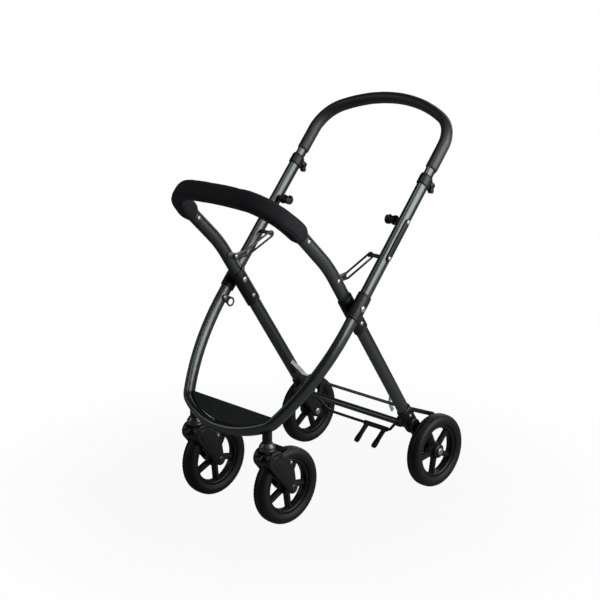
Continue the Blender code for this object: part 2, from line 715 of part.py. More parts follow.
def make_brake(materials):
    """The cranked brake bar with its sleeve and two pedals, turning in the brackets."""
    drop = Vector((0.0, sin(BRAKE_CRANK_LEAN), -cos(BRAKE_CRANK_LEAN))) * BRAKE_CRANK
    middle = BRAKE_AXIS + drop
    reach = BRACKET_INNER_X + BAR_INSERT
    half = [
        middle,
        middle + X_AXIS * (BRAKE_CRANK_X - 0.0040),
        middle + X_AXIS * (BRAKE_CRANK_X + 0.0030) - drop * 0.12,
        BRAKE_AXIS + X_AXIS * (BRAKE_END_X - 0.0030) + drop * 0.12,
        BRAKE_AXIS + X_AXIS * (BRAKE_END_X + 0.0040),
        BRAKE_AXIS + X_AXIS * reach,
    ]
    path = [Vector((-p.x, p.y, p.z)) for p in reversed(half[1:])] + half
    rod = oval_tube("brake_bar", path, Vector((0.0, 0.0, 1.0)), (BRAKE_ROD_RADIUS, BRAKE_ROD_RADIUS),
                    sides=ROD_SIDES)
    first = middle + X_AXIS * (PEDAL_FIRST_X - PEDAL_HALF_WIDTH)
    last = middle + X_AXIS * (PEDAL_FIRST_X + PEDAL_SPACING + PEDAL_HALF_WIDTH)
    join(rod, bar("tool", first, last, BRAKE_SLEEVE_RADIUS))
    lean = Vector((0.0, -sin(PEDAL_LEAN), -cos(PEDAL_LEAN)))
    flat = Vector((0.0, cos(PEDAL_LEAN), -sin(PEDAL_LEAN)))
    for number in range(2):
        root = middle + X_AXIS * (PEDAL_FIRST_X + PEDAL_SPACING * number)
        rings = []
        for along, wide, thick in ((0.0, 0.90, 0.95), (0.50, 0.85, 0.90), (0.90, 1.0, 1.0),
                                   (1.0, 0.75, 0.70)):
            centre = root + lean * (PEDAL_LENGTH * along)
            half_size = (PEDAL_HALF_WIDTH * wide, PEDAL_RADIUS * thick)
            rings.append(oval_ring(centre, X_AXIS, flat, half_size, ROD_SIDES))
        join(rod, loft("tool", rings))
    return finish(rod, materials["plastic"], BRAKE_AXIS)


def make_housings(word, side, materials):
    """The two pivot housings and the bolt through them."""
    front = front_point(side * FRONT_TUBE_X, 0.0)
    profile = sleeve_profile(FRONT_HOUSING_UP, -FRONT_HOUSING_DOWN, HOUSING_WALL)
    sleeve = oval_sleeve("front_pivot_housing_" + word, front, FRONT_UP, profile)
    reach = side * (FRONT_TUBE_X + TUBE_WIDE * 1.5)
    near = side * (REAR_TUBE_X - TUBE_WIDE * 1.5)
    cut(sleeve, cross_hole(PIVOT, PIVOT_BOLT_RADIUS + RUNNING, near, reach))
    finish(sleeve, materials["plastic"])
    rear = rear_point(side * REAR_TUBE_X, 0.0)
    profile = sleeve_profile(REAR_HOUSING_UP, -REAR_HOUSING_DOWN, HOUSING_WALL)
    sleeve = oval_sleeve("rear_pivot_housing_" + word, rear, REAR_UP, profile)
    cut(sleeve, cross_hole(PIVOT, PIVOT_BOLT_RADIUS + GAP, near, reach))
    place = rear_point(0.0, -HOUSING_RIVET_DOWN)
    face = side * (REAR_TUBE_X - HOUSING_HALF[1])
    start = Vector((face + side * HOUSING_WALL * 0.5, place.y, place.z))
    end = Vector((face - side * RIVET_HEAD, place.y, place.z))
    join(sleeve, bar("tool", start, end, RIVET_HEAD_RADIUS))
    if side < 0:
        cut(sleeve, cross_hole(LATCH_STUD, EYE_PIN_RADIUS + GAP, side * REAR_TUBE_X, reach))
    finish(sleeve, materials["plastic"])
    start = side * (REAR_TUBE_X - HOUSING_HALF[1] - GAP)
    end = side * (FRONT_TUBE_X + HOUSING_HALF[1] + GAP)
    bolt = headed_pin("pivot_bolt_" + word, PIVOT, start, end, PIVOT_BOLT_RADIUS, BOLT_HEAD_RADIUS, BOLT_HEAD)
    finish(bolt, materials["steel"])


def make_link(word, side, materials):
    """The slotted fold link, its ear on the rear leg and its pin in the front tube."""
    ear_out = REAR_TUBE_X - TUBE_NARROW - GAP
    ear_in = ear_out - EAR_THICKNESS
    link_out = ear_in - GAP
    link_in = link_out - LINK_THICKNESS
    rivet = rear_point(0.0, EAR_RIVET_UP)
    ear = capsule_plate("link_ear_" + word, rivet, EAR_RADIUS, LINK_PIVOT, LINK_EYE_RADIUS,
                        side * ear_in, side * ear_out)
    root = ear_in + EAR_THICKNESS * 0.5
    leg_outer = REAR_TUBE_X + TUBE_NARROW + GAP
    shank = bar("tool", Vector((side * root, rivet.y, rivet.z)),
                Vector((side * (leg_outer + RIVET_HEAD * 0.5), rivet.y, rivet.z)), RIVET_RADIUS)
    head = bar("tool", Vector((side * leg_outer, rivet.y, rivet.z)),
               Vector((side * (leg_outer + RIVET_HEAD), rivet.y, rivet.z)), RIVET_HEAD_RADIUS)
    eye = Vector((0.0, LINK_PIVOT.y, LINK_PIVOT.z))
    eye_pin = bar("tool", eye + X_AXIS * side * root,
                  eye + X_AXIS * side * (link_in - GAP - RIVET_HEAD * 0.5), EYE_PIN_RADIUS)
    eye_head = bar("tool", eye + X_AXIS * side * (link_in - GAP),
                   eye + X_AXIS * side * (link_in - GAP - RIVET_HEAD), RIVET_HEAD_RADIUS)
    finish(join(ear, shank, head, eye_pin, eye_head), materials["steel"])

    half = LINK_SLOT_HALF + LINK_BAR
    straight = LINK_PIN - LINK_PIVOT
    angle = atan2(straight.z, straight.y) + LINK_SLOT_TILT
    along = Vector((0.0, cos(angle), sin(angle)))
    line = LINK_PIVOT + Vector((0.0, sin(angle), -cos(angle))) * LINK_SLOT_DROP
    slot_start = line + along * LINK_SOLID
    slot_end = line + along * straight.dot(along)
    plate = capsule_plate("link_" + word, LINK_PIVOT, LINK_EYE_RADIUS, slot_start, half,
                          side * link_in, side * link_out)
    step = side * 0.0001
    body = capsule_plate("tool", slot_start, half, slot_end, half,
                         side * link_in + step, side * link_out - step)
    join(plate, body)
    slot = capsule_plate("tool", slot_start, LINK_SLOT_HALF, slot_end, LINK_SLOT_HALF,
                         side * (link_in - LINK_THICKNESS), side * (link_out + LINK_THICKNESS))
    eye_hole = cross_hole(LINK_PIVOT, EYE_PIN_RADIUS + RUNNING,
                          side * (link_in - 0.0100), side * (link_out + 0.0100))
    cut(plate, slot, eye_hole)
    finish(plate, materials["steel"], LINK_PIVOT + X_AXIS * side * (link_in + link_out) * 0.5)

    plate_face = FRONT_TUBE_X + TUBE_NARROW + GAP
    plate_outer = plate_face + PLATE_THICKNESS
    knob = link_in - GAP - RIVET_HEAD
    tube_inner = FRONT_TUBE_X - TUBE_NARROW - GAP
    profile = [(knob, LINK_SLOT_HALF + 0.0016), (knob + RIVET_HEAD, LINK_SLOT_HALF + 0.0016)]
    profile += [(knob + RIVET_HEAD, LINK_PIN_RADIUS), (link_out + GAP, LINK_PIN_RADIUS)]
    profile += [(link_out + GAP, LINK_SPACER_RADIUS), (tube_inner, LINK_SPACER_RADIUS)]
    profile += [(tube_inner, LINK_PIN_RADIUS), (plate_outer + GAP, LINK_PIN_RADIUS)]
    profile += [(plate_outer + GAP, RIVET_HEAD_RADIUS), (plate_outer + GAP + RIVET_HEAD, RIVET_HEAD_RADIUS)]
    base = Vector((0.0, LINK_PIN.y, LINK_PIN.z))
    finish(turned("link_pin_" + word, base, X_AXIS * side, profile), materials["steel"])


def make_side_plate(word, side, materials):
    """The slender plate outside the front tube and the seat stud through it."""
    stud = front_point(0.0, STUD_UP)
    inner = FRONT_TUBE_X + TUBE_NARROW + GAP
    outer = inner + PLATE_THICKNESS
    plate = capsule_plate("side_plate_" + word, LINK_PIN, PLATE_HALF_WIDTH, stud, PLATE_HALF_WIDTH,
                          side * inner, side * outer)
    for place, radius in ((LINK_PIN, LINK_PIN_RADIUS), (stud, RIVET_RADIUS)):
        cut(plate, cross_hole(place, radius + GAP, side * (inner - 0.0100), side * (outer + 0.0100)))
    finish(plate, materials["plastic"])
    face = FRONT_TUBE_X - TUBE_NARROW - GAP
    arm = face - STUD_ARM_LENGTH
    tip = arm - STUD_KNOB_LENGTH
    profile = [(outer + GAP + RIVET_HEAD, RIVET_HEAD_RADIUS), (outer + GAP, RIVET_HEAD_RADIUS)]
    profile += [(outer + GAP, RIVET_RADIUS), (face, RIVET_RADIUS), (face, STUD_ARM_RADIUS),
                (arm, STUD_ARM_RADIUS)]
    for part, radius in ((0.0, STUD_KNOB_RADIUS), (0.28, STUD_KNOB_RADIUS), (0.38, STUD_WAIST_RADIUS),
                         (0.62, STUD_WAIST_RADIUS), (0.72, STUD_KNOB_RADIUS), (1.0, STUD_KNOB_RADIUS)):
        profile.append((arm - STUD_KNOB_LENGTH * part, radius))
    base = Vector((0.0, stud.y, stud.z))
    knob = turned("hook_stud_" + word, base, X_AXIS * side, profile)
    wide = STUD_KNOB_RADIUS * 0.35
    low = Vector((side * (tip - 0.0100), stud.y, stud.z + STUD_KNOB_RADIUS * 0.30))
    outline = [low + Vector((0.0, dy, dz))
               for dy, dz in ((-wide, 0.0), (wide, 0.0), (wide, 0.0200), (-wide, 0.0200))]
    notch = prism("tool", outline, X_AXIS * side * (STUD_KNOB_LENGTH + 0.0100 - STUD_KNOB_LENGTH * 0.15))
    finish(cut(knob, notch), materials["plastic"])


def make_collar(word, side, materials):
    """The collar at the top of the front tube and the release lever on its back."""
    x = side * FRONT_TUBE_X
    top = front_point(x, FRONT_TOP)
    tube = (TUBE_WIDE + GAP, TUBE_NARROW + GAP)
    bore = (INNER_TUBE[0] + SLIDING, INNER_TUBE[1] + SLIDING)
    outer = (tube[0] + COLLAR_WALL, tube[1] + COLLAR_WALL)
    profile = [
        (-HANDLE_COLLAR_DOWN, tube[0], tube[1]),
        (-HANDLE_COLLAR_DOWN, outer[0] - 0.0010, outer[1] - 0.0010),
        (-HANDLE_COLLAR_DOWN + 0.0015, outer[0], outer[1]),
        (HANDLE_COLLAR_UP * 0.5, outer[0], outer[1]),
        (HANDLE_COLLAR_UP, bore[0] + COLLAR_WALL, bore[1] + COLLAR_WALL),
        (HANDLE_COLLAR_UP, bore[0], bore[1]),
        (GAP, bore[0], bore[1]),
        (GAP, tube[0], tube[1]),
    ]
    collar = oval_sleeve("collar_" + word, top, FRONT_UP, profile)
    inside = front_point(0.0, FRONT_TOP - LEVER_PIVOT_DOWN, TUBE_WIDE - 0.0017)
    for hand in (-1.0, 1.0):
        near = x + hand * (LEVER_HALF_WIDTH + RUNNING)
        far = x + hand * (LEVER_HALF_WIDTH + RUNNING + LEVER_CHEEK)
        points = []
        for k in range(7):
            turn = pi * k / 6.0
            points.append(LEVER_PIVOT + (FRONT_UP * cos(turn) + FRONT_BACK * sin(turn)) * LEVER_ROOT_RADIUS)
        points.append(inside - FRONT_UP * LEVER_ROOT_RADIUS)
        points.append(inside + FRONT_UP * LEVER_ROOT_RADIUS)
        outline = [Vector((near, p.y, p.z)) for p in points]
        join(collar, prism("tool", outline, X_AXIS * (far - near)))
    reach = LEVER_HALF_WIDTH + RUNNING + LEVER_CHEEK
    cut(collar, cross_hole(LEVER_PIVOT, LEVER_PIN_RADIUS + RUNNING, x - reach * 1.5, x + reach * 1.5))
    finish(collar, materials["plastic"])
    tip = LEVER_PIVOT + (FRONT_BACK * sin(LEVER_LEAN) - FRONT_UP * cos(LEVER_LEAN)) * LEVER_LENGTH
    lever = capsule_plate("release_lever_" + word, LEVER_PIVOT, LEVER_ROOT_RADIUS, tip, LEVER_TIP_RADIUS,
                          x - LEVER_HALF_WIDTH, x + LEVER_HALF_WIDTH)
    pin = cross_hole(LEVER_PIVOT, LEVER_PIN_RADIUS, x - reach, x + reach)
    finish(join(lever, pin), materials["plastic"], LEVER_PIVOT + X_AXIS * x)


def make_handle(materials):
    """The telescopic handle and the foam grip round its bow."""
    def path(start):
        plan = u_bend(FRONT_TUBE_X, start, HANDLE_TOP, HANDLE_BOW_RADIUS, HANDLE_CORNER_RADIUS)
        return [front_point(x, up) for x, up in plan]

    bore = (INNER_TUBE[0] - TUBE_WALL, INNER_TUBE[1] - TUBE_WALL)
    tube = oval_tube("handle_tube", path(HANDLE_BOTTOM), X_AXIS, INNER_TUBE, bore)
    finish(tube, materials["frame"], front_point(0.0, HANDLE_BOTTOM))

    def grip_size(place):
        ease = 0.0 if place > GRIP_END_SOFT * 0.5 else GRIP_END_SOFT * 0.4
        return (GRIP_WIDE - ease * 0.5, GRIP_NARROW - ease)

    line = path(GRIP_START)
    line = line[:1] + [front_point(line[0].x, GRIP_START + GRIP_END_SOFT)] + line[1:-1]
    line += [front_point(-line[0].x, GRIP_START + GRIP_END_SOFT), front_point(-line[0].x, GRIP_START)]
    grip = oval_tube("handle_grip", line, X_AXIS, grip_size, (INNER_TUBE[0] + GAP, INNER_TUBE[1] + GAP))
    finish(grip, materials["foam"])


def make_footrest(materials):
    """The flat footrest panel inside the front bow."""
    edge = TUBE_NARROW + FOOTREST_GAP
    plan = u_bend(FRONT_TUBE_X - edge, 0.0, FRONT_BOW_END - edge, FRONT_BOW_RADIUS - edge,
                  FRONT_CORNER_RADIUS - edge, (FRONT_FLARE_RADIUS - edge, FRONT_FLARE_START))
    points = [(x, down) for x, down in plan if down > FOOTREST_EDGE + 0.0020]
    corner_x = abs(points[0][0]) + (points[0][1] - FOOTREST_EDGE) * 0.45
    points = [(-corner_x, FOOTREST_EDGE)] + points + [(corner_x, FOOTREST_EDGE)]
    low = [front_point(x, -down, -FOOTREST_THICKNESS * 0.5) for x, down in points]
    return finish(prism("footrest", low, FRONT_BACK * FOOTREST_THICKNESS), materials["panel"])


def make_castor(word, side, materials):
    """The castor socket, fork, collar, swivel lock lever and axle of one front corner."""
    axis = Vector((side * CASTOR_X, CASTOR_AXIS_Y, 0.0))
    hub = Vector((side * CASTOR_X, FRONT_AXLE.y, WHEEL_RADIUS))
    up = Vector((0.0, 0.0, 1.0))
    bow = front_point(0.0, -CASTOR_DOWN)
    top = bow.z - SOCKET_TOP_DROP
    socket = turned("castor_socket_" + word, axis, up, [
        (SOCKET_BASE_Z, SOCKET_RADIUS), (top, SOCKET_RADIUS)], TURNED_SIDES)
    plan = u_bend(FRONT_TUBE_X, 0.0, FRONT_BOW_END, FRONT_BOW_RADIUS, FRONT_CORNER_RADIUS,
                  (FRONT_FLARE_RADIUS, FRONT_FLARE_START))
    path = [front_point(x, -down) for x, down in plan]
    space = oval_tube("tool", path, X_AXIS, (TUBE_WIDE + GAP, TUBE_NARROW + GAP))
    bore = bar("tool", axis + up * (SOCKET_BASE_Z - 0.0100),
               axis + up * (SOCKET_BASE_Z + STEM_ENGAGEMENT + GAP), STEM_RADIUS + RUNNING)
    finish(cut(socket, space, bore), materials["plastic"])

    crown = Vector((0.0, CASTOR_AXIS_Y + CROWN_SHIFT, CROWN_TOP_Z - CROWN_HEIGHT))
    arms = capsule_plate("castor_fork_" + word, hub, FORK_BOSS_RADIUS, crown, CROWN_RADIUS,
                         hub.x - FORK_OUTER, hub.x + FORK_OUTER)
    seat = bar("tool", axis + up * (CROWN_TOP_Z - CROWN_HEIGHT), axis + up * (CROWN_TOP_Z + 0.0100),
               CROWN_SEAT_RADIUS, TURNED_SIDES)
    fender = []
    for radius, angles in ((FENDER_RADIUS, range(7)), (FORK_BORE_RADIUS - 0.0020, range(6, -1, -1))):
        for k in angles:
            angle = FENDER_FROM + (FENDER_TO - FENDER_FROM) * k / 6.0
            fender.append(hub + Vector((-(FORK_OUTER - 0.0008), radius * cos(angle), radius * sin(angle))))
    shell = prism("tool", fender, X_AXIS * 2.0 * (FORK_OUTER - 0.0008))
    corner = hub + Vector((0.0, -FORK_WING_BACK, FORK_WING_UP))
    reach = FORK_OUTER - FORK_STEP
    wing = capsule_plate("tool", hub, FORK_BOSS_RADIUS * 0.8, corner, FORK_WING_RADIUS,
                         hub.x - reach, hub.x + reach)
    reach -= FORK_STEP
    web = capsule_plate("tool", crown, CROWN_RADIUS * 0.8, corner, FORK_WING_RADIUS,
                        hub.x - reach, hub.x + reach)
    join(arms, seat, shell, wing, web)
    space = bar("tool", hub - X_AXIS * FORK_INNER, hub + X_AXIS * FORK_INNER, FORK_BORE_RADIUS, WHEEL_SIDES)
    flat = [axis + Vector((dx, dy, CROWN_TOP_Z))
            for dx, dy in ((-0.05, -0.05), (0.05, -0.05), (0.05, 0.09), (-0.05, 0.09))]
    above = prism("tool", flat, up * 0.0500)
    lock = LOCK_PIVOT + X_AXIS * hub.x
    wide = LOCK_HALF_WIDTH + RUNNING
    pocket = [lock + Vector((-wide, dy, dz)) for dy, dz in (
        (LOCK_ROOT_RADIUS + RUNNING * 2.0, LOCK_POCKET_DOWN), (LOCK_ROOT_RADIUS + RUNNING * 2.0, 0.0300),
        (-0.0400, 0.0300), (-0.0400, LOCK_POCKET_DOWN - 0.0060))]
    pocket_cut = prism("tool", pocket, X_AXIS * 2.0 * wide)
    pin_reach = LOCK_HALF_WIDTH + LOCK_PIN_END
    pin_hole = cross_hole(lock, LOCK_PIN_RADIUS + RUNNING, lock.x - pin_reach - GAP, lock.x + pin_reach + GAP)
    axle_hole = cross_hole(hub, AXLE_RADIUS + GAP, hub.x - FORK_OUTER * 2.0, hub.x + FORK_OUTER * 2.0)
    cut(arms, space, above, pocket_cut, pin_hole, axle_hole)
    stem = bar("tool", axis + up * (CROWN_TOP_Z - 0.0040), axis + up * (SOCKET_BASE_Z + STEM_ENGAGEMENT),
               STEM_RADIUS)
    finish(join(arms, stem), materials["plastic"], axis + up * CROWN_TOP_Z)

    base = axis + up * COLLAR_BASE_Z
    ring = turned("castor_collar_" + word, base, up, [
        (0.0, STEM_RADIUS + GAP), (0.0, COLLAR_RADIUS), (COLLAR_HEIGHT * 0.55, COLLAR_RADIUS),
        (COLLAR_HEIGHT, SOCKET_RADIUS + 0.0020), (COLLAR_HEIGHT, STEM_RADIUS + GAP)],
        TURNED_SIDES, closed=True)
    finish(ring, materials["collar"], axis + up * CROWN_TOP_Z)

    tip = lock + Vector((0.0, -LOCK_REACH * cos(LOCK_LEAN), -LOCK_REACH * sin(LOCK_LEAN)))
    lever = capsule_plate("swivel_lock_" + word, lock, LOCK_ROOT_RADIUS, tip, LOCK_TIP_RADIUS,
                          lock.x - LOCK_HALF_WIDTH, lock.x + LOCK_HALF_WIDTH)
    pin = cross_hole(lock, LOCK_PIN_RADIUS, lock.x - pin_reach, lock.x + pin_reach)
    finish(join(lever, pin), materials["plastic"], lock)

    grip = FORK_OUTER + GAP
    axle = headed_pin("front_axle_" + word, hub, hub.x - grip, hub.x + grip, AXLE_RADIUS,
                      AXLE_HEAD_RADIUS, AXLE_HEAD)
    finish(axle, materials["steel"])


def make_wheel(name, hub, turn, materials):
    """A spoked rim and its tyre on one hub centre, with a window at the given turn."""
    bore = AXLE_RADIUS + RUNNING
    rim_outer = TYRE_INNER_RADIUS - GAP
    ring = rim_outer - RIM_RING
    profile = [
        (-HUB_HALF_WIDTH, bore), (-HUB_HALF_WIDTH, HUB_RADIUS), (-WEB_HALF_WIDTH, HUB_RADIUS * 1.1),
        (-WEB_HALF_WIDTH, ring), (-RIM_HALF_WIDTH, ring + RIM_RING * 0.4), (-RIM_HALF_WIDTH, rim_outer),
        (RIM_HALF_WIDTH, rim_outer), (RIM_HALF_WIDTH, ring + RIM_RING * 0.4), (WEB_HALF_WIDTH, ring),
        (WEB_HALF_WIDTH, HUB_RADIUS * 1.1), (HUB_HALF_WIDTH, HUB_RADIUS), (HUB_HALF_WIDTH, bore),
    ]
    centre = Vector((0.0, 0.0, 0.0))
    rim = turned(name + "_rim", centre, X_AXIS, profile, WHEEL_SIDES, closed=True, flats=True)
    inner = HUB_RADIUS * 1.1 + WINDOW_MARGIN
    outer = ring - WINDOW_MARGIN
    for number in range(SPOKE_COUNT):
        middle = 2.0 * pi * number / SPOKE_COUNT + turn
        half = pi / SPOKE_COUNT
        low = half - atan2(SPOKE_WIDTH * 0.5, inner)
        high = half - atan2(SPOKE_WIDTH * 0.5, outer)
        points = []
        for k in range(4):
            angle = middle - high + 2.0 * high * k / 3.0
            points.append((outer * cos(angle), outer * sin(angle)))
        for k in range(2):
            angle = middle + low - 2.0 * low * k
            points.append((inner * cos(angle), inner * sin(angle)))
        outline = [Vector((-0.0300, y, z)) for y, z in points]
        cut(rim, prism("tool", outline, X_AXIS * 0.0600))
    finish(rim, materials["plastic"])
    rim.location = hub
    wide = TYRE_HALF_WIDTH
    section = [
        (-RIM_HALF_WIDTH - 0.0010, TYRE_INNER_RADIUS), (-wide, WHEEL_RADIUS - 0.0150),
        (-wide * 0.84, WHEEL_RADIUS - 0.0040), (-wide * 0.42, WHEEL_RADIUS),
    ]
    section += [(-x, radius) for x, radius in reversed(section)]
    tyre = turned(name + "_tyre", centre, X_AXIS, section, WHEEL_SIDES, closed=True, flats=True)
    finish(tyre, materials["tyre"])
    tyre.location = hub


def make_rear_axle(word, side, materials):
    """The pin that carries a rear wheel outside its bracket."""
    start = side * (BRACKET_OUTER_X - BRACKET_WEB - GAP)
    end = side * (REAR_WHEEL_X + HUB_HALF_WIDTH + RUNNING)
    pin = headed_pin("rear_axle_" + word, REAR_AXLE, start, end, AXLE_RADIUS, AXLE_HEAD_RADIUS, AXLE_HEAD)
    finish(pin, materials["steel"])


def make_bumper_rivet(word, side, materials):
    """The rivet that holds the bumper bar in a rear leg."""
    place = rear_run(0.0, LEG_RUN_END - BUMPER_RIVET_BACK)
    start = side * (REAR_TUBE_X - TUBE_NARROW - GAP)
    end = side * (REAR_TUBE_X + TUBE_NARROW + GAP)
    pin = headed_pin("bumper_rivet_" + word, place, start, end, RIVET_RADIUS, RIVET_HEAD_RADIUS, RIVET_HEAD)
    finish(pin, materials["steel"])


def make_strap(word, side, materials):
    """The grey basket strap that hangs from the inside of a rear leg, its lower end standing off."""
    rings = []
    for k in range(9):
        part = k / 8.0
        up = -(STRAP_TOP + (STRAP_BOTTOM - STRAP_TOP) * part)
        inward = STRAP_REACH * sin(pi * 0.5 * max(part - 0.125, 0.0) / 0.875)
        middle = REAR_TUBE_X - TUBE_NARROW - GAP - STRAP_THICKNESS * 0.5 - inward
        centre = rear_point(side * middle, up, STRAP_BACK)
        rings.append([centre + REAR_BACK * (a * STRAP_WIDTH * 0.5) + X_AXIS * (b * STRAP_THICKNESS * 0.5)
                      for a, b in ((-1, -1), (1, -1), (1, 1), (-1, 1))])
    finish(loft("basket_strap_" + word, rings), materials["strap"])


def make_latch(materials):
    """The storage hook on the left front tube and the stud it catches on the rear leg."""
    outer = -(FRONT_TUBE_X - TUBE_NARROW - GAP - LATCH_STANDOFF)
    inner = outer + LATCH_THICKNESS
    tip = LATCH_PIVOT + Vector((0.0, cos(LATCH_DROP), -sin(LATCH_DROP))) * LATCH_REACH
    hook = capsule_plate("latch_hook", LATCH_PIVOT, LATCH_ROOT_RADIUS, tip, LATCH_EYE_RADIUS, outer, inner)
    cut(hook, cross_hole(tip, LATCH_HOLE_RADIUS, outer - 0.0100, inner + 0.0100))
    root = (outer + inner) * 0.5
    pin = cross_hole(LATCH_PIVOT, EYE_PIN_RADIUS, root, outer - TUBE_WALL * 2.5)
    finish(join(hook, pin), materials["steel"], LATCH_PIVOT + X_AXIS * outer)
    face = -(REAR_TUBE_X + HOUSING_HALF[1] + GAP)
    profile = [(REAR_TUBE_X + TUBE_NARROW * 0.4, EYE_PIN_RADIUS), (-face, EYE_PIN_RADIUS)]
    profile += [(-face, LATCH_STUD_RADIUS), (-face + LATCH_STUD_LENGTH, LATCH_STUD_RADIUS * 0.83)]
    base = Vector((0.0, LATCH_STUD.y, LATCH_STUD.z))
    finish(turned("latch_stud", base, -X_AXIS, profile), materials["steel"])


def build():
    """Makes every piece of the frame."""
    clear_scene()
    materials = {
        "frame": make_material("black_frame_paint", (0.020, 0.021, 0.022), 0.28, 0.0),
        "plastic": make_material("black_plastic", (0.016, 0.016, 0.017), 0.45, 0.0),
        "tyre": make_material("black_tyre", (0.018, 0.018, 0.019), 0.75, 0.0),
        "foam": make_material("black_foam", (0.022, 0.022, 0.025), 0.92, 0.0),
        "pad": make_material("black_pad_fabric", (0.016, 0.016, 0.018), 0.90, 0.0),
        "panel": make_material("dark_panel", (0.045, 0.050, 0.056), 0.55, 0.0),
        "strap": make_material("grey_strap", (0.42, 0.43, 0.44), 0.80, 0.0),
        "steel": make_material("dark_steel", (0.120, 0.122, 0.125), 0.38, 1.0),
        "collar": make_material("charcoal_plastic", (0.060, 0.062, 0.065), 0.42, 0.0),
    }
    make_front_tube(materials["frame"])
    make_footrest(materials)
    make_handle(materials)
    make_bumper(materials)
    make_cross_bars(materials)
    make_brake(materials)
    make_latch(materials)
    for word, side in SIDES.items():
        make_rear_leg(word, side, materials["frame"])
        make_bracket(word, side, materials["plastic"])
        make_housings(word, side, materials)
        make_link(word, side, materials)
        make_side_plate(word, side, materials)
        make_collar(word, side, materials)
        make_castor(word, side, materials)
        make_rear_axle(word, side, materials)
        make_bumper_rivet(word, side, materials)
        make_strap(word, side, materials)
        front_hub = FRONT_AXLE + X_AXIS * side * CASTOR_X
        make_wheel("front_wheel_" + word, front_hub, FRONT_TURNS[side], materials)
        rear_hub = REAR_AXLE + X_AXIS * side * REAR_WHEEL_X
        make_wheel("rear_wheel_" + word, rear_hub, REAR_TURNS[side], materials)


build()
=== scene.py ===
"""The looks of the folding stroller frame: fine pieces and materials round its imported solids.

Metres, +Z up. The frame's front faces -Y and its right is +X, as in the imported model. The
tubes cross at the fold pivot, so places are measured up from it along the front tube or the
rear legs, as in the model's source.
"""
import json
from math import atan2, cos, exp, pi, radians, sin, sqrt

import bmesh
import bpy
from mathutils import Matrix, Vector, noise
from mathutils.bvhtree import BVHTree


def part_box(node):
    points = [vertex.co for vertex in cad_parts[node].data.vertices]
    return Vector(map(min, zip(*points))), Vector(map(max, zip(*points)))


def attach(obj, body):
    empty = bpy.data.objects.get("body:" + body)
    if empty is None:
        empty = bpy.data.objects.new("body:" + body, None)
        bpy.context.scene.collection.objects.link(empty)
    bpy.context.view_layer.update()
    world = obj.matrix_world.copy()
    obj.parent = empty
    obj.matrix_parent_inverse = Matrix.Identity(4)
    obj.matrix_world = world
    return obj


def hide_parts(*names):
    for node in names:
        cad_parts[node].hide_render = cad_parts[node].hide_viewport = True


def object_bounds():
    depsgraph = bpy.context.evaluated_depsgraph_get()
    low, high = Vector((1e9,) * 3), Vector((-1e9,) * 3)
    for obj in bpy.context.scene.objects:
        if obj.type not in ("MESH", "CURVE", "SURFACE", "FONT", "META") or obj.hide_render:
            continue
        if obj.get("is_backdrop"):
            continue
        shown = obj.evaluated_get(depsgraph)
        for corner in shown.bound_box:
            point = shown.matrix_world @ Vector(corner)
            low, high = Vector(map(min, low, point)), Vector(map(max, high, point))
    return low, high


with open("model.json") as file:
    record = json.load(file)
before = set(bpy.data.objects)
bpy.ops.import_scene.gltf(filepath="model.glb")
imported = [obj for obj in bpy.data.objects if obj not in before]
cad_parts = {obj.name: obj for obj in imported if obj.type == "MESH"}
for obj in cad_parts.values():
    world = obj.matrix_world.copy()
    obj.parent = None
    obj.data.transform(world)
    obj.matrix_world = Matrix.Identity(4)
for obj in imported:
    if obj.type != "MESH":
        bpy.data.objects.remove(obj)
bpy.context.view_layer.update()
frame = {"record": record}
BODY_OF = {node: body for body, nodes in frame["record"]["behaviour"]["bodies"].items() for node in nodes}
SIDES = {"left": -1, "right": 1}
X_AXIS = Vector((1.0, 0.0, 0.0))
UP = Vector((0.0, 0.0, 1.0))

# Camera, as fitted to the photograph
CAMERA_AZIMUTH = radians(44.42)
CAMERA_ELEVATION = radians(14.594)
CAMERA_ROLL = radians(0.652)
CAMERA_TARGET = Vector((0.0695, -0.1043, 0.5211))
CAMERA_DISTANCE = 3.3012
CAMERA_LENS = 83.05
SENSOR_WIDTH = 36.0

# The crossed tubes
PIVOT = Vector((0.0, -0.0591, 0.5205))
FRONT_LEAN = radians(39.76)
REAR_LEAN = radians(34.62)
FRONT_TUBE_X = 0.2160
REAR_TUBE_X = 0.1855
GAP = 0.0003
SLIDING = 0.0004
TUBE = (0.0175, 0.01125)
TUBE_WALL = 0.0015
INNER_TUBE = (TUBE[0] - TUBE_WALL - SLIDING, TUBE[1] - TUBE_WALL - SLIDING)

# Bends of the front tube, the handle and the bumper bar
FRONT_TOP = 0.3620
FRONT_BOW = {"bow_end": 0.3766, "bow_radius": 0.2650, "corner_radius": 0.0450}
FLARE_RADIUS = 0.6000
FLARE_START = 0.0500
HANDLE_BOTTOM = 0.2520
HANDLE_BOW = {"bow_end": 0.5784, "bow_radius": 0.3646, "corner_radius": 0.0920}
GRIP_START = 0.3900
GRIP = (0.0172, 0.0132)
GRIP_STEP = 0.0035
GRIP_SOFT_END = 0.0055
GRIP_SIDES = 44
GRIP_SQUARENESS = 2.1
BUMPER_ARC_START = 0.0930
BUMPER_ARC_RADIUS = 0.3248
BUMPER_RISE = radians(43.5)
BUMPER_BOW = {"bow_end": 0.2110, "bow_radius": 0.8000, "corner_radius": 0.1100}
LEG_RUN_END = 0.0840
BUMPER_INSERT = 0.0600
LEG_END_DOWN = 0.4150

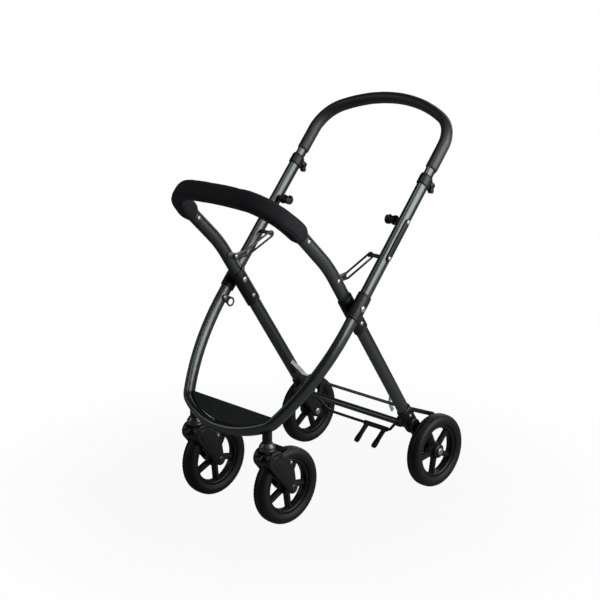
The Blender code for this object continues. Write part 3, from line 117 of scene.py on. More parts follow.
# Padded cover of the bumper bar, and the cloth settings that swell it
PAD_GAP = 0.0010
PAD = (0.0235, 0.0190)
PAD_END = (0.0185, 0.0140)
PAD_DRAWN_IN = 0.0240
PAD_SLACK = 0.0008
PAD_SWELL_CAP = 0.0030
PAD_SQUARENESS = 3.2
PAD_GATHER = 0.0006
PAD_CREASE = 0.0007
PAD_STEP = 0.0042
PAD_SIDES = 36
CLOTH_FRAMES = 20
CLOTH = {
    "quality": 6, "mass": 0.25, "tension_stiffness": 12.0, "compression_stiffness": 12.0,
    "bending_stiffness": 0.4, "use_pressure": True, "uniform_pressure_force": 4.0,
    "vertex_group_mass": "held",
}
PIPING_RADIUS = 0.0011
PIPING_STEP = 0.0040
PIPING_SIDES = 10
STITCH_SPACING = 0.0042
STITCH_LENGTH = 0.0027
STITCH_RADIUS = 0.00035
STITCH_SIDES = 6
STITCH_FROM_SEAM = 0.0036
# Stitches as (share along, girth, lift)
PAD_STITCH = ((-0.5, 0.35, -0.2), (-0.3, 1.0, 0.5), (0.3, 1.0, 0.5), (0.5, 0.35, -0.2))
HEM_STITCH = ((-0.5, 0.3, 0.0), (-0.25, 1.0, 0.0), (0.25, 1.0, 0.0), (0.5, 0.3, 0.0))

# Wheels
WHEEL_RADIUS = 0.0950
TYRE_HALF_WIDTH = 0.0195
TYRE_INNER_RADIUS = 0.0665
RIM_HALF_WIDTH = 0.0120
RIM_RING = 0.0060
HUB_RADIUS = 0.0190
HUB_HALF_WIDTH = 0.0190
WEB_HALF_WIDTH = 0.0050
SPOKE_COUNT = 5
SPOKE_WIDTH = 0.0150
WINDOW_MARGIN = 0.0015
# The outside of a tyre, as shares of its half width and drops from its radius
TYRE_CROWN = ((1.0, 0.0165), (0.97, 0.0095), (0.80, 0.0036), (0.52, 0.0009), (0.40, 0.0004),
              (0.37, 0.0020), (0.31, 0.0020), (0.28, 0.0001))
TREAD_BLOCKS = 60
TREAD_GAP = 0.24
TREAD_BAND = 0.0110
TREAD_DEPTH = 0.0007
WINDOW_TURNS = {
    "front_wheel_left": radians(23.8), "front_wheel_right": radians(26.8),
    "rear_wheel_left": radians(38.0), "rear_wheel_right": radians(8.5),
}
AXLE_RADIUS = 0.0050
AXLE_HEAD_RADIUS = 0.0090
AXLE_HEAD = 0.0022
REAR_WHEEL_X = 0.2250

# Castors
CASTOR_X = 0.1275
CASTOR_SET_BACK = 0.0115
CASTOR_TRAIL = 0.0620
FORK_INNER = TYRE_HALF_WIDTH + 0.0025
FORK_OUTER = FORK_INNER + 0.0060
FORK_BORE_RADIUS = WHEEL_RADIUS + 0.0040
FENDER_THICKNESS = 0.0040
FENDER_ARC = (radians(97.0), radians(130.0))
FORK_WING = (-0.0084, 0.0660)
FORK_WING_RADIUS = 0.0090
FORK_BOSS_RADIUS = 0.0150
CROWN_TOP_Z = WHEEL_RADIUS + 0.1040
CROWN_SHIFT = 0.0040
CROWN_RADIUS = 0.0240
CROWN_HEIGHT = 0.0220
CROWN_SEAT_RADIUS = 0.0215
CASTOR_COLLAR_RADIUS = 0.0195
CASTOR_COLLAR_HEIGHT = 0.0190
STEM_RADIUS = 0.0060
SOCKET_RADIUS = 0.0118
SOCKET_TOP_DROP = 0.0030
LOCK_HALF_WIDTH = 0.0080
LOCK_ROOT_RADIUS = 0.0060
LOCK_TIP_RADIUS = 0.0065
LOCK_REACH = 0.0150
LOCK_LEAN = radians(25.0)
LOCK_SET_FORWARD = 0.0140
LOCK_DOWN = 0.0100

# Pivot housings, links, plates and studs
HOUSING_WALL = 0.0030
HOUSING_STEP = 0.0045
HOUSING_SHAPE = ((0.0, 0.0008), (0.4, 0.0), (1.0, 0.0), (1.15, 0.0005), (1.4, 0.0005), (1.55, 0.0))
FRONT_HOUSING = (0.0360, -0.0320)
REAR_HOUSING = (0.0280, -0.0800)
HOUSING_RIVET_DOWN = 0.0560
RIVET_HEAD_RADIUS = 0.0055
RIVET_HEAD = 0.0018
RIVET_SHANK = 0.00225
HEAD_BITE = 0.0010
CAP_OVER = 0.0003
DOME = ((0.0, 0.02), (0.0, 0.45), (0.30, 0.82), (0.75, 1.0), (1.0, 1.0))
LINK_PIN_UP = 0.1398
EAR_RIVET_UP = 0.0847
LINK_EYE_UP = 0.0708
LINK_EYE_BACK = 0.0118
LINK_BAR = 0.0044
LINK_SLOT_HALF = 0.0052
LINK_SLOT_TILT = radians(4.3)
LINK_SLOT_DROP = 0.0120
LINK_EYE_RADIUS = 0.0080
LINK_SOLID = 0.0400
EAR_RADIUS = 0.0085
EAR_THICKNESS = 0.0020
STUD_UP = 0.2413
PLATE_HALF_WIDTH = 0.0078
STUD_ARM_RADIUS = 0.0045
STUD_KNOB_RADIUS = 0.0122
STUD_KNOB_LENGTH = 0.0270
STUD_ARM_LENGTH = 0.0120
STUD_WAIST_RADIUS = 0.0090

# Handle collars, release levers and the storage hook
COLLAR_WALL = 0.0026
COLLAR_DOWN = 0.0190
COLLAR_UP = 0.0095
LEVER_PIVOT_DOWN = 0.0000
LEVER_PIVOT_BACK = 0.0265
LEVER_ROOT_RADIUS = 0.0055
LEVER_TIP_RADIUS = 0.0055
LEVER_LENGTH = 0.0140
LEVER_LEAN = radians(40.0)
LEVER_HALF_WIDTH = 0.0060
LEVER_CHEEK = 0.0030
LATCH_DOWN = 0.0597
LATCH_REACH = 0.0240
LATCH_DROP = radians(37.0)
LATCH_ROOT_RADIUS = 0.0080
LATCH_EYE_RADIUS = 0.0125
LATCH_HOLE_RADIUS = 0.0078

# Rear brackets, bars, brake and straps
BRACKET_UP = 0.3700
BRACKET_DEPTH = 0.0760
BRACKET_WALL = 0.0032
BRACKET_WEB = 0.0130
BRACKET_BOSS_RADIUS = 0.0160
BRACKET_ARM_RADIUS = 0.0055
BRACKET_WHEEL_GAP = 0.0045
BRACE_BACK = 0.0200
BRACE_UP = 0.0850
BAR_BOSS_STEP = 0.0015
CROSS_BAR_RADIUS = 0.0085
CROSS_BAR_UP = 0.3970
CROSS_BAR_FORWARD = 0.0245
BRAKE_UP = 0.4343
BRAKE_FORWARD = 0.0088
BRAKE_ROD_RADIUS = 0.0038
BRAKE_CRANK = 0.0340
BRAKE_CRANK_LEAN = radians(24.0)
BRAKE_CRANK_X = 0.1060
BRAKE_END_X = 0.1380
BRAKE_SLEEVE_RADIUS = 0.0065
BRAKE_BEND_RADIUS = 0.0110
BRAKE_STEP = 0.0030
PEDAL_FIRST_X = 0.0300
PEDAL_SPACING = 0.0600
PEDAL_LENGTH = 0.0600
PEDAL_HALF_WIDTH = 0.0075
PEDAL_RADIUS = 0.0055
PEDAL_LEAN = radians(48.0)
# A pedal's rings as (share along, width, thickness), and the rings of one rib as (along, girth)
PEDAL_SHAPE = ((0.0, 0.90, 0.96), (0.12, 0.87, 0.92), (0.50, 0.84, 0.88), (0.68, 0.92, 0.93),
               (0.80, 1.0, 1.0), (0.90, 1.0, 1.0), (0.96, 0.92, 0.90), (0.99, 0.72, 0.70), (1.0, 0.35, 0.35))
PEDAL_RIB = ((-0.0009, 0.85), (-0.0004, 1.06), (0.0004, 1.06), (0.0009, 0.85))
FOOTREST_EDGE = 0.3139
FOOTREST_THICKNESS = 0.0050
FOOTREST_GAP = 0.0004
STRAP_WIDTH = 0.0110
STRAP_THICKNESS = 0.0014
STRAP_TOP = 0.3060
STRAP_BOTTOM = 0.3920
STRAP_HELD = 0.08
STRAP_RIPPLE = 0.0006
STRAP_STEPS = 28
STRAP_REACH = 0.0310

# Fineness of the meshes
TUBE_SIDES = 48
TUBE_SPACING = 0.0060
TUBE_LIP = 0.0005
ARC_STEP = radians(2.5)
BEND_STEPS = 16
CAPSULE_STEPS = 20
PIN_SIDES = 40
SCREW_SIDES = 28
WHEEL_SIDES = 120
POINT = 0.0001
SHARP_EDGE = radians(42.0)
BEVEL_EDGE = radians(38.0)
MOULDED_VOXEL = 0.0010
MOULDED_SMOOTHING = 8

# Stage. The tubes of the photograph keep black edges, so glossy rays see a share of the white only.
MIRROR_SHARE = 0.03
SURROUND_GLOW = 0.03
FLOOR_REACH = 90.0
FLOOR_DROP = 0.0004
FLOOR_GREY = 0.30
FLOOR_FADE = {"From_Min": 0.35, "From_Max": 1.10, "To_Min": 0.93, "To_Max": 1.0}
STAGE_MIDDLE = Vector((0.0, 0.0, 0.45))
# Lamps: place to the right, towards the camera and up from the middle, then size and power
LAMPS = {
    "side": ((2.07, 0.78, 0.60), (1.9, 1.8), 74.0),
    "top": ((0.3, 1.2, 2.1), (1.2, 1.2), 16.0),
    "left": ((-2.4, 0.3, 0.9), (1.0, 1.8), 10.0),
    "back": ((1.0, -2.2, 1.3), (1.2, 1.8), 14.0),
}

FRONT_UP = Vector((0.0, sin(FRONT_LEAN), cos(FRONT_LEAN)))
FRONT_BACK = Vector((0.0, cos(FRONT_LEAN), -sin(FRONT_LEAN)))
REAR_UP = Vector((0.0, -sin(REAR_LEAN), cos(REAR_LEAN)))
REAR_BACK = Vector((0.0, cos(REAR_LEAN), sin(REAR_LEAN)))
BUMPER_UP = Vector((0.0, -cos(BUMPER_RISE), sin(BUMPER_RISE)))


def front_point(x, up, back=0.0):
    """A point in the plane of the front tube, measured up from the fold pivot."""
    return PIVOT + X_AXIS * x + FRONT_UP * up + FRONT_BACK * back


def rear_point(x, up, back=0.0):
    """A point in the plane of the rear legs, measured up from the fold pivot."""
    return PIVOT + X_AXIS * x + REAR_UP * up + REAR_BACK * back


BOW_CENTRE = FRONT_BOW["bow_end"] - FRONT_BOW["bow_radius"]
CASTOR_DOWN = BOW_CENTRE + sqrt(FRONT_BOW["bow_radius"] ** 2 - CASTOR_X ** 2)
CASTOR_AXIS_Y = front_point(0.0, -CASTOR_DOWN).y + CASTOR_SET_BACK
FRONT_AXLE = Vector((0.0, CASTOR_AXIS_Y + CASTOR_TRAIL, WHEEL_RADIUS))
REAR_AXLE = rear_point(0.0, -(PIVOT.z - WHEEL_RADIUS) / cos(REAR_LEAN))
LINK_PIVOT = rear_point(0.0, LINK_EYE_UP, LINK_EYE_BACK)
LINK_PIN = front_point(0.0, LINK_PIN_UP)
LATCH_PIVOT = front_point(0.0, -LATCH_DOWN)
CROSS_BAR = rear_point(0.0, -CROSS_BAR_UP, -CROSS_BAR_FORWARD)
BRAKE_AXIS = rear_point(0.0, -BRAKE_UP, -BRAKE_FORWARD)
LEVER_PIVOT = front_point(0.0, FRONT_TOP - LEVER_PIVOT_DOWN, LEVER_PIVOT_BACK)
LOCK_PIVOT = Vector((0.0, CASTOR_AXIS_Y - LOCK_SET_FORWARD, CROWN_TOP_Z - LOCK_DOWN))
BRACKET_INNER_X = REAR_TUBE_X - TUBE[1] - GAP - BRACKET_WALL
BRACKET_OUTER_X = REAR_WHEEL_X - HUB_HALF_WIDTH - BRACKET_WHEEL_GAP


def add_object(name, data):
    """A new object in the scene."""
    item = bpy.data.objects.new(name, data)
    bpy.context.scene.collection.objects.link(item)
    return item


def make_camera():
    """The photograph's camera: azimuth 0 looks along +Y, and the roll is a small tilt."""
    level = cos(CAMERA_ELEVATION)
    away = Vector((sin(CAMERA_AZIMUTH) * level, -cos(CAMERA_AZIMUTH) * level, sin(CAMERA_ELEVATION)))
    right = (-away).cross(UP).normalized()
    over = right.cross(-away)
    tilted = right * cos(CAMERA_ROLL) + over * sin(CAMERA_ROLL)
    upward = over * cos(CAMERA_ROLL) - right * sin(CAMERA_ROLL)
    lens = bpy.data.cameras.new("camera")
    lens.lens = CAMERA_LENS
    lens.sensor_width = SENSOR_WIDTH
    camera = add_object("camera", lens)
    turn = Matrix((tilted, upward, away)).transposed().to_4x4()
    camera.matrix_world = Matrix.Translation(CAMERA_TARGET + away * CAMERA_DISTANCE) @ turn
    bpy.context.scene.camera = camera
    return away, right


# Materials


def add_node(tree, kind, settings=None, **inputs):
    """A shader node. Inputs are named by their sockets, with _ for a space."""
    made = tree.nodes.new(kind)
    for key, value in (settings or {}).items():
        setattr(made, key, value)
    for key, value in inputs.items():
        socket = made.inputs[key.replace("_", " ")]
        if isinstance(value, bpy.types.NodeSocket):
            tree.links.new(value, socket)
        else:
            socket.default_value = value
    return made


def maths(tree, operation, first, second=0.0):
    """The result of a Math node."""
    made = tree.nodes.new("ShaderNodeMath")
    made.operation = operation
    for socket, value in zip(made.inputs, (first, second)):
        if isinstance(value, bpy.types.NodeSocket):
            tree.links.new(value, socket)
        else:
            socket.default_value = value
    return made.outputs[0]


def weave_height(tree, pitch):
    """Over and under threads of a plain weave, from the cloth's own lengths."""
    cloth = add_node(tree, "ShaderNodeUVMap", {"uv_map": "cloth"}).outputs[0]
    split = add_node(tree, "ShaderNodeSeparateXYZ", Vector=cloth)
    waves = []
    for axis in ("X", "Y"):
        waves.append(maths(tree, "SINE", maths(tree, "MULTIPLY", split.outputs[axis], pi / pitch)))
    crossing = maths(tree, "MULTIPLY", waves[0], waves[1])
    return maths(tree, "ADD", maths(tree, "MULTIPLY", crossing, 0.5), 0.5)


def grain_height(tree, place, kind, scale):
    """A height from 0 to 1 for one grain of a surface."""
    if kind == "cells":
        return add_node(tree, "ShaderNodeTexVoronoi", Vector=place, Scale=scale).outputs["Distance"]
    if kind == "weave":
        return weave_height(tree, scale)
    return add_node(tree, "ShaderNodeTexNoise", Vector=place, Scale=scale, Detail=3.0).outputs[0]


def make_material(name, dark, light, roughness, mottle, grains, **sockets):
    """A surface whose colour and roughness wander between two values, with bump from its
    grains, each a kind, a scale and a depth in metres."""
    made = bpy.data.materials.new(name)
    made.use_nodes = True
    tree = made.node_tree
    shader = tree.nodes["Principled BSDF"]
    for key, value in sockets.items():
        shader.inputs[key.replace("_", " ")].default_value = value
    place = add_node(tree, "ShaderNodeTexCoord").outputs["Object"]
    wander = add_node(tree, "ShaderNodeTexNoise", Vector=place, Scale=mottle, Detail=4.0)
    ramp = add_node(tree, "ShaderNodeValToRGB", Fac=wander.outputs[0])
    for element, position, shade in zip(ramp.color_ramp.elements, (0.32, 0.68), (dark, light)):
        element.position = position
        element.color = (*shade, 1.0)
    colour = ramp.outputs["Color"]
    finer = add_node(tree, "ShaderNodeTexNoise", Vector=place, Scale=mottle * 7.0, Detail=2.0)
    low, high = roughness
    span = add_node(tree, "ShaderNodeMapRange", Value=finer.outputs[0], To_Min=low, To_Max=high)
    tree.links.new(span.outputs[0], shader.inputs["Roughness"])
    normal = None
    for kind, scale, depth in grains:
        height = grain_height(tree, place, kind, scale)
        bump = add_node(tree, "ShaderNodeBump", Height=height, Distance=depth)
        if normal is not None:
            tree.links.new(normal, bump.inputs["Normal"])
        normal = bump.outputs["Normal"]
        # Painted shade and highlight: the weave's colour is darkened where threads dip under and lightened
        # where they rise over
        if kind == "weave":
            painted_weave_shade = add_node(tree, "ShaderNodeMapRange", Value=height, To_Min=0.70, To_Max=1.25)
            shaded = add_node(tree, "ShaderNodeVectorMath", {"operation": "SCALE"}, Vector=colour,
                              Scale=painted_weave_shade.outputs[0])
            colour = shaded.outputs[0]
    tree.links.new(colour, shader.inputs["Base Color"])
    tree.links.new(normal, shader.inputs["Normal"])
    return made


MATERIALS = {
    "frame_paint": make_material(
        "satin_black_paint", (0.0010, 0.0011, 0.0012), (0.0020, 0.0022, 0.0023), (0.27, 0.33), 9.0,
        [("noise", 700.0, 0.000003), ("noise", 60.0, 0.000012)],
        Specular_IOR_Level=0.85, Specular_Tint=(0.88, 1.0, 0.96, 1.0)),
    "plastic": make_material(
        "moulded_black_plastic", (0.0009, 0.0009, 0.0010), (0.0019, 0.0019, 0.0021), (0.36, 0.46), 22.0,
        [("noise", 1900.0, 0.000016), ("noise", 260.0, 0.000012)], Specular_IOR_Level=0.30),
    "tyre": make_material(
        "black_tyre_rubber", (0.0014, 0.0014, 0.0015), (0.0030, 0.0029, 0.0028), (0.46, 0.60), 26.0,
        [("noise", 700.0, 0.000040), ("cells", 1500.0, 0.000020)], Specular_IOR_Level=0.24),
    "foam": make_material(
        "fine_black_foam", (0.0012, 0.0013, 0.0015), (0.0030, 0.0032, 0.0036), (0.46, 0.60), 40.0,
        [("cells", 1100.0, 0.000040), ("noise", 420.0, 0.000040)], Specular_IOR_Level=0.62),
    "pad": make_material(
        "woven_black_cover", (0.0070, 0.0062, 0.0090), (0.0120, 0.0110, 0.0150), (0.66, 0.82), 30.0,
        [("weave", 0.0011, 0.000090), ("noise", 900.0, 0.000040)],
        Specular_IOR_Level=0.16, Sheen_Weight=0.02, Sheen_Roughness=0.45),
    "panel": make_material(
        "grained_dark_panel", (0.0028, 0.0036, 0.0046), (0.0046, 0.0056, 0.0068), (0.50, 0.64), 16.0,
        [("cells", 620.0, 0.000080), ("noise", 1400.0, 0.000030)], Specular_IOR_Level=0.26),
    "strap": make_material(
        "grey_webbing", (0.24, 0.25, 0.26), (0.42, 0.43, 0.44), (0.74, 0.88), 60.0,
        [("weave", 0.0009, 0.000160)], Specular_IOR_Level=0.20, Sheen_Weight=0.15),
    "steel": make_material(
        "bright_rivet_steel", (0.26, 0.26, 0.265), (0.34, 0.34, 0.345), (0.36, 0.46), 120.0,
        [("noise", 1300.0, 0.000010)], Metallic=1.0),
    "collar": make_material(
        "charcoal_plastic", (0.0050, 0.0054, 0.0062), (0.0100, 0.0105, 0.0120), (0.34, 0.44), 30.0,
        [("noise", 1700.0, 0.000014)], Specular_IOR_Level=0.95),
    "black_steel": make_material(
        "black_coated_steel", (0.0012, 0.0013, 0.0014), (0.0026, 0.0027, 0.0029), (0.32, 0.44), 45.0,
        [("noise", 1100.0, 0.000012)], Specular_IOR_Level=0.50),
}


# Mesh tools


def new_object(name, vertices, faces):
    """A mesh object with its faces pointing outwards."""
    mesh = bpy.data.meshes.new(name)
    mesh.from_pydata([tuple(v) for v in vertices], [], faces)
    work = bmesh.new()
    work.from_mesh(mesh)
    bmesh.ops.recalc_face_normals(work, faces=work.faces)
    work.to_mesh(mesh)
    work.free()
    return add_object(name, mesh)


def skin(name, rings, closed=False, caps=True, places=None):
    """Skins a list of equal rings. Places along give the mesh its cloth lengths, in metres."""
    count = len(rings[0])
    vertices = [point for ring in rings for point in ring]
    faces = []
    for i in range(len(rings) if closed else len(rings) - 1):
        here, there = i * count, (i + 1) % len(rings) * count
        for k in range(count):
            after = (k + 1) % count
            faces.append((here + k, here + after, there + after, there + k))
    walls = len(faces)
    if caps and not closed:
        faces.append(tuple(range(count)))
        faces.append(tuple(range(len(vertices) - count, len(vertices))))
    item = new_object(name, vertices, faces)
    if places:
        middle = rings[len(rings) // 2]
        girth = sum((middle[k] - middle[k - 1]).length for k in range(count))
        layer = item.data.uv_layers.new(name="cloth")
        for face in list(item.data.polygons)[:walls]:
            wraps = face.index % count == count - 1
            for corner in face.loop_indices:
                ring, k = divmod(item.data.loops[corner].vertex_index, count)
                around = count if wraps and k == 0 else k
                layer.data[corner].uv = (places[ring], girth * around / count)
    return item


def ring(centre, wide_axis, narrow_axis, half, sides=TUBE_SIDES, power=2.0):
    """Points of an oval, or of a squarer form at a higher power."""
    points = []
    for k in range(sides):
        angle = 2.0 * pi * k / sides
        c, s = cos(angle), sin(angle)
        wide = half[0] * abs(c) ** (2.0 / power) * (1.0 if c >= 0.0 else -1.0)
        narrow = half[1] * abs(s) ** (2.0 / power) * (1.0 if s >= 0.0 else -1.0)
        points.append(centre + wide_axis * wide + narrow_axis * narrow)
    return points


def grown(half, by):
    """The half widths of an oval, larger by a wall or a gap."""
    return (half[0] + by, half[1] + by)


def even(path, spacing):
    """The same line with its points a nearly even distance apart."""
    lengths = [0.0]
    for before, after in zip(path, path[1:]):
        lengths.append(lengths[-1] + (after - before).length)
    count = max(2, round(lengths[-1] / spacing))
    points, i = [], 0
    for k in range(count + 1):
        wanted = lengths[-1] * k / count
        while i < len(path) - 2 and lengths[i + 1] < wanted:
            i += 1
        points.append(path[i].lerp(path[i + 1], (wanted - lengths[i]) / (lengths[i + 1] - lengths[i])))
    return points


def frames_along(path, spacing, narrow_start=X_AXIS):
    """Place, wide and narrow directions and distance at even steps of a path, without twist."""
    path = even(path, spacing)
    frames, narrow, place = [], narrow_start.normalized(), 0.0
    for i, point in enumerate(path):
        incoming = point - path[i - 1] if i else path[1] - point
        outgoing = path[i + 1] - point if i < len(path) - 1 else incoming
        tangent = (incoming.normalized() + outgoing.normalized()).normalized()
        narrow = (narrow - tangent * narrow.dot(tangent)).normalized()
        place += incoming.length if i else 0.0
        frames.append((point, tangent.cross(narrow).normalized(), narrow, place))
    return frames


def rings_along(frames, half, sides=TUBE_SIDES):
    """The same oval at every frame of a path."""
    return [ring(point, wide, narrow, half, sides) for point, wide, narrow, _ in frames]


def soften(points, radius, steps=3, closed=False):
    """Rounds the corners of an outline."""
    result = []
    for i, point in enumerate(points):
        here = Vector(point)
        if not closed and i in (0, len(points) - 1):
            result.append(here)
            continue
        before = Vector(points[i - 1]) - here
        after = Vector(points[(i + 1) % len(points)]) - here
        reach = min(radius, before.length * 0.45, after.length * 0.45)
        start, end = here + before.normalized() * reach, here + after.normalized() * reach
        for k in range(steps + 1):
            part = k / steps
            pull = here * (2.0 * part * (1.0 - part))
            result.append(start * (1.0 - part) ** 2 + pull + end * part ** 2)
    return result


def tube(name, path, half):
    """An open oval tube along a path, with rounded lips."""
    frames = frames_along(path, TUBE_SPACING)
    bore = grown(half, -TUBE_WALL)
    lips = []
    for end, beside in ((0, 1), (-1, -2)):
        point, wide, narrow, place = frames[end]
        lips.append([ring(point, wide, narrow, grown(size, step))
                     for size, step in ((bore, TUBE_LIP), (half, -TUBE_LIP))])
        drawn_in = (frames[beside][0] - point).normalized() * TUBE_LIP
        frames[end] = (point + drawn_in, wide, narrow, place)
    outer, inner = rings_along(frames, half), rings_along(frames, bore)
    return skin(name, lips[0] + outer + lips[1][::-1] + inner[::-1], closed=True)


def cross_axes(axis):
    """Two directions square to an axis and to each other."""
    first = axis.cross(UP if abs(axis.z) < 0.9 else X_AXIS).normalized()
    return first, axis.cross(first).normalized()


def turned(name, base, axis, profile, sides=PIN_SIDES, closed=False, soft=0.0005):
    """A turned piece from a profile of (along, radius), its corners rounded."""
    axis = axis.normalized()
    first, second = cross_axes(axis)
    rings = [ring(base + axis * along, first, second, (radius, radius), sides)
             for along, radius in soften(profile, soft, 3, closed)]
    return skin(name, rings, closed)


def rod(name, start, end, radius, sides=PIN_SIDES):
    """A plain round bar with softened ends."""
    length, tip = (end - start).length, radius * 0.01
    profile = [(0.0, tip), (0.0, radius), (length, radius), (length, tip)]
    return turned(name, start, end - start, profile, sides)


def cutter(start, end, radius, sides=PIN_SIDES):
    """A sharp round bar to cut with."""
    first, second = cross_axes((end - start).normalized())
    return skin("tool", [ring(p, first, second, (radius, radius), sides) for p in (start, end)])


def across(place, x):
    """The point of the side view at another x."""
    return Vector((x, place.y, place.z))


def prism(name, outline, depth):
    """Extrudes a flat outline of points along a vector."""
    return skin(name, [outline, [point + depth for point in outline]])


def capsule(name, start, start_radius, end, end_radius, x_from, x_to):
    """A tapered plate flat to the frame's side: two circles joined by their outer tangents."""
    along = end - start
    base = atan2(along.z, along.y)
    spread = pi / 2.0 - (start_radius - end_radius) / along.length
    points = []
    for centre, radius, first, sweep in ((end, end_radius, base - spread, 2.0 * spread),
                                         (start, start_radius, base + spread, 2.0 * pi - 2.0 * spread)):
        for k in range(CAPSULE_STEPS + 1):
            angle = first + sweep * k / CAPSULE_STEPS
            points.append(Vector((x_from, centre.y + radius * cos(angle), centre.z + radius * sin(angle))))
    return prism(name, points, X_AXIS * (x_to - x_from))


def slab(start, start_radius, end, end_radius, x, reach, name="tool"):
    """Such a plate that reaches as far to both sides of x."""
    return capsule(name, start, start_radius, end, end_radius, x - reach, x + reach)


def apply_modifiers(item):
    """Makes the modified mesh the object's own."""
    graph = bpy.context.evaluated_depsgraph_get()
    mesh = bpy.data.meshes.new_from_object(item.evaluated_get(graph))
    item.modifiers.clear()
    item.data = mesh
    return item


def combine(target, operation, tools):
    """Unites with tools, or cuts them out, and removes them."""
    for tool in tools:
        modifier = target.modifiers.new("boolean", "BOOLEAN")
        modifier.operation = operation
        modifier.solver = "EXACT"
        modifier.object = tool
        apply_modifiers(target)
        bpy.data.objects.remove(tool, do_unlink=True)
    return target


def join(target, *tools):
    """Unites several solids into the first."""
    return combine(target, "UNION", tools)


def cut(target, *tools):
    """Takes several solids out of the first."""
    return combine(target, "DIFFERENCE", tools)


def merge(target, *others):
    """Puts closed shells that touch or overlap into one object."""
    work = bmesh.new()
    work.from_mesh(target.data)
    for other in others:
        work.from_mesh(other.data)
        bpy.data.objects.remove(other, do_unlink=True)
    work.to_mesh(target.data)
    work.free()
    return target


def add_bar(target, place, x, reach, radius, sides):
    """Adds a round bar along X that reaches as far to both sides of x."""
    return merge(target, rod("tool", across(place, x - reach), across(place, x + reach), radius, sides))


def bevelled(item, width=0.0006, segments=2):
    """Rounds the sharp edges of a piece."""
    modifier = item.modifiers.new("soft_edges", "BEVEL")
    modifier.width = width
    modifier.segments = segments
    modifier.limit_method = "ANGLE"
    modifier.angle_limit = BEVEL_EDGE
    return apply_modifiers(item)


def moulded(item):
    """Melts the edges of a piece into moulded fillets."""
    modifier = item.modifiers.new("remesh", "REMESH")
    modifier.mode = "VOXEL"
    modifier.voxel_size = MOULDED_VOXEL
    smoothing = item.modifiers.new("smooth", "SMOOTH")
    smoothing.factor = 0.5
    smoothing.iterations = MOULDED_SMOOTHING
    return apply_modifiers(item)


def dress(item, slot, *nodes, look=None, body=None):
    """Gives a piece its material, from its slot unless a look is named, smooth shading and body, and hides
    the nodes it stands for.
    """
    item.data.materials.clear()
    item.data.materials.append(MATERIALS[look or slot])
    item.data.shade_smooth()
    item.data.set_sharp_from_angle(angle=SHARP_EDGE)
    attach(item, body or BODY_OF[nodes[0]])
    if nodes:
        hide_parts(*nodes)
    return item


def rivet(name, place, x, way, profile, body, sides=PIN_SIDES, soft=0.0005):
    """A steel head on a face at x, turned along X from a profile of (along, radius)."""
    return dress(turned(name, across(place, x), X_AXIS * way, profile, sides, soft=soft), "steel", body=body)


# Tube paths


def arc(centre, radius, start, end):
    """Points of an arc after its first one, as (across, along)."""
    steps = max(2, round(abs(end - start) / ARC_STEP))
    angles = [start + (end - start) * k / steps for k in range(1, steps + 1)]
    return [(centre[0] + radius * cos(angle), centre[1] + radius * sin(angle)) for angle in angles]


def circles_meet(first, first_radius, second, second_radius):
    """The meeting point of two circles that lies furthest along."""
    dx, dy = second[0] - first[0], second[1] - first[1]
    apart = sqrt(dx * dx + dy * dy)
    along = (first_radius ** 2 - second_radius ** 2 + apart ** 2) / (2.0 * apart)
    aside = sqrt(first_radius ** 2 - along ** 2)
    return (first[0] + (dx * along - dy * aside) / apart, first[1] + (dy * along + dx * aside) / apart)


def u_bend(half_width, leg_end, bow_end, bow_radius, corner_radius, flare=None):
    """A U as (across, along) points: a bow, two corners and two legs that may flare."""
    bow = (0.0, bow_end - bow_radius)
    reach = bow_radius - corner_radius
    leg_angle = 0.0
    if flare:
        flare_radius, flare_start = flare
        hinge = (half_width - flare_radius, flare_start)
        corner = circles_meet(hinge, flare_radius - corner_radius, bow, reach)
        leg_angle = atan2(corner[1] - hinge[1], corner[0] - hinge[0])
    else:
        corner = (half_width - corner_radius, bow[1] + sqrt(reach ** 2 - (half_width - corner_radius) ** 2))
    bow_angle = atan2(corner[1] - bow[1], corner[0] - bow[0])
    half = [(0.0, bow_end)]
    half += arc(bow, bow_radius, pi / 2.0, bow_angle)
    half += arc(corner, corner_radius, bow_angle, leg_angle)
    if flare:
        half += arc(hinge, flare_radius, leg_angle, 0.0)
    half.append((half_width, leg_end))
    return [(-x, d) for x, d in reversed(half[1:])] + half


def front_path(inset=0.0, leg_end=-FRONT_TOP):
    """The front tube's line, or one inset from it, as (across, down)."""
    bow = {key: value - inset for key, value in FRONT_BOW.items()}
    return u_bend(FRONT_TUBE_X - inset, leg_end, **bow, flare=(FLARE_RADIUS - inset, FLARE_START))


def bend_point(x, angle):
    """A point on the forward bend of the rear legs, where the tube rises at an angle."""
    heading = pi / 2.0 - REAR_LEAN
    forward, rise = sin(heading) - sin(angle), cos(angle) - cos(heading)
    return rear_point(x, BUMPER_ARC_START) + Vector((0.0, -forward, rise)) * BUMPER_ARC_RADIUS


def rear_run(x, run):
    """A point on the straight upper run of the rear legs and the bumper bar."""
    return bend_point(x, BUMPER_RISE) + BUMPER_UP * run


def rear_leg_path(x):
    """From inside the rear bracket up past the pivot and forward over the bend."""
    heading = pi / 2.0 - REAR_LEAN
    bend = [bend_point(x, heading + (BUMPER_RISE - heading) * k / BEND_STEPS) for k in range(BEND_STEPS + 1)]
    return [rear_point(x, -LEG_END_DOWN), *bend, rear_run(x, LEG_RUN_END)]


def bumper_path(start_run):
    """The bumper bar's U, from one rear leg to the other."""
    return [rear_run(0.0, run) + X_AXIS * x for x, run in u_bend(REAR_TUBE_X, start_run, **BUMPER_BOW)]


def handle_path(start):
    """The handle's U from a distance up the front tube."""
    return [front_point(x, up) for x, up in u_bend(FRONT_TUBE_X, start, **HANDLE_BOW)]


# Pieces


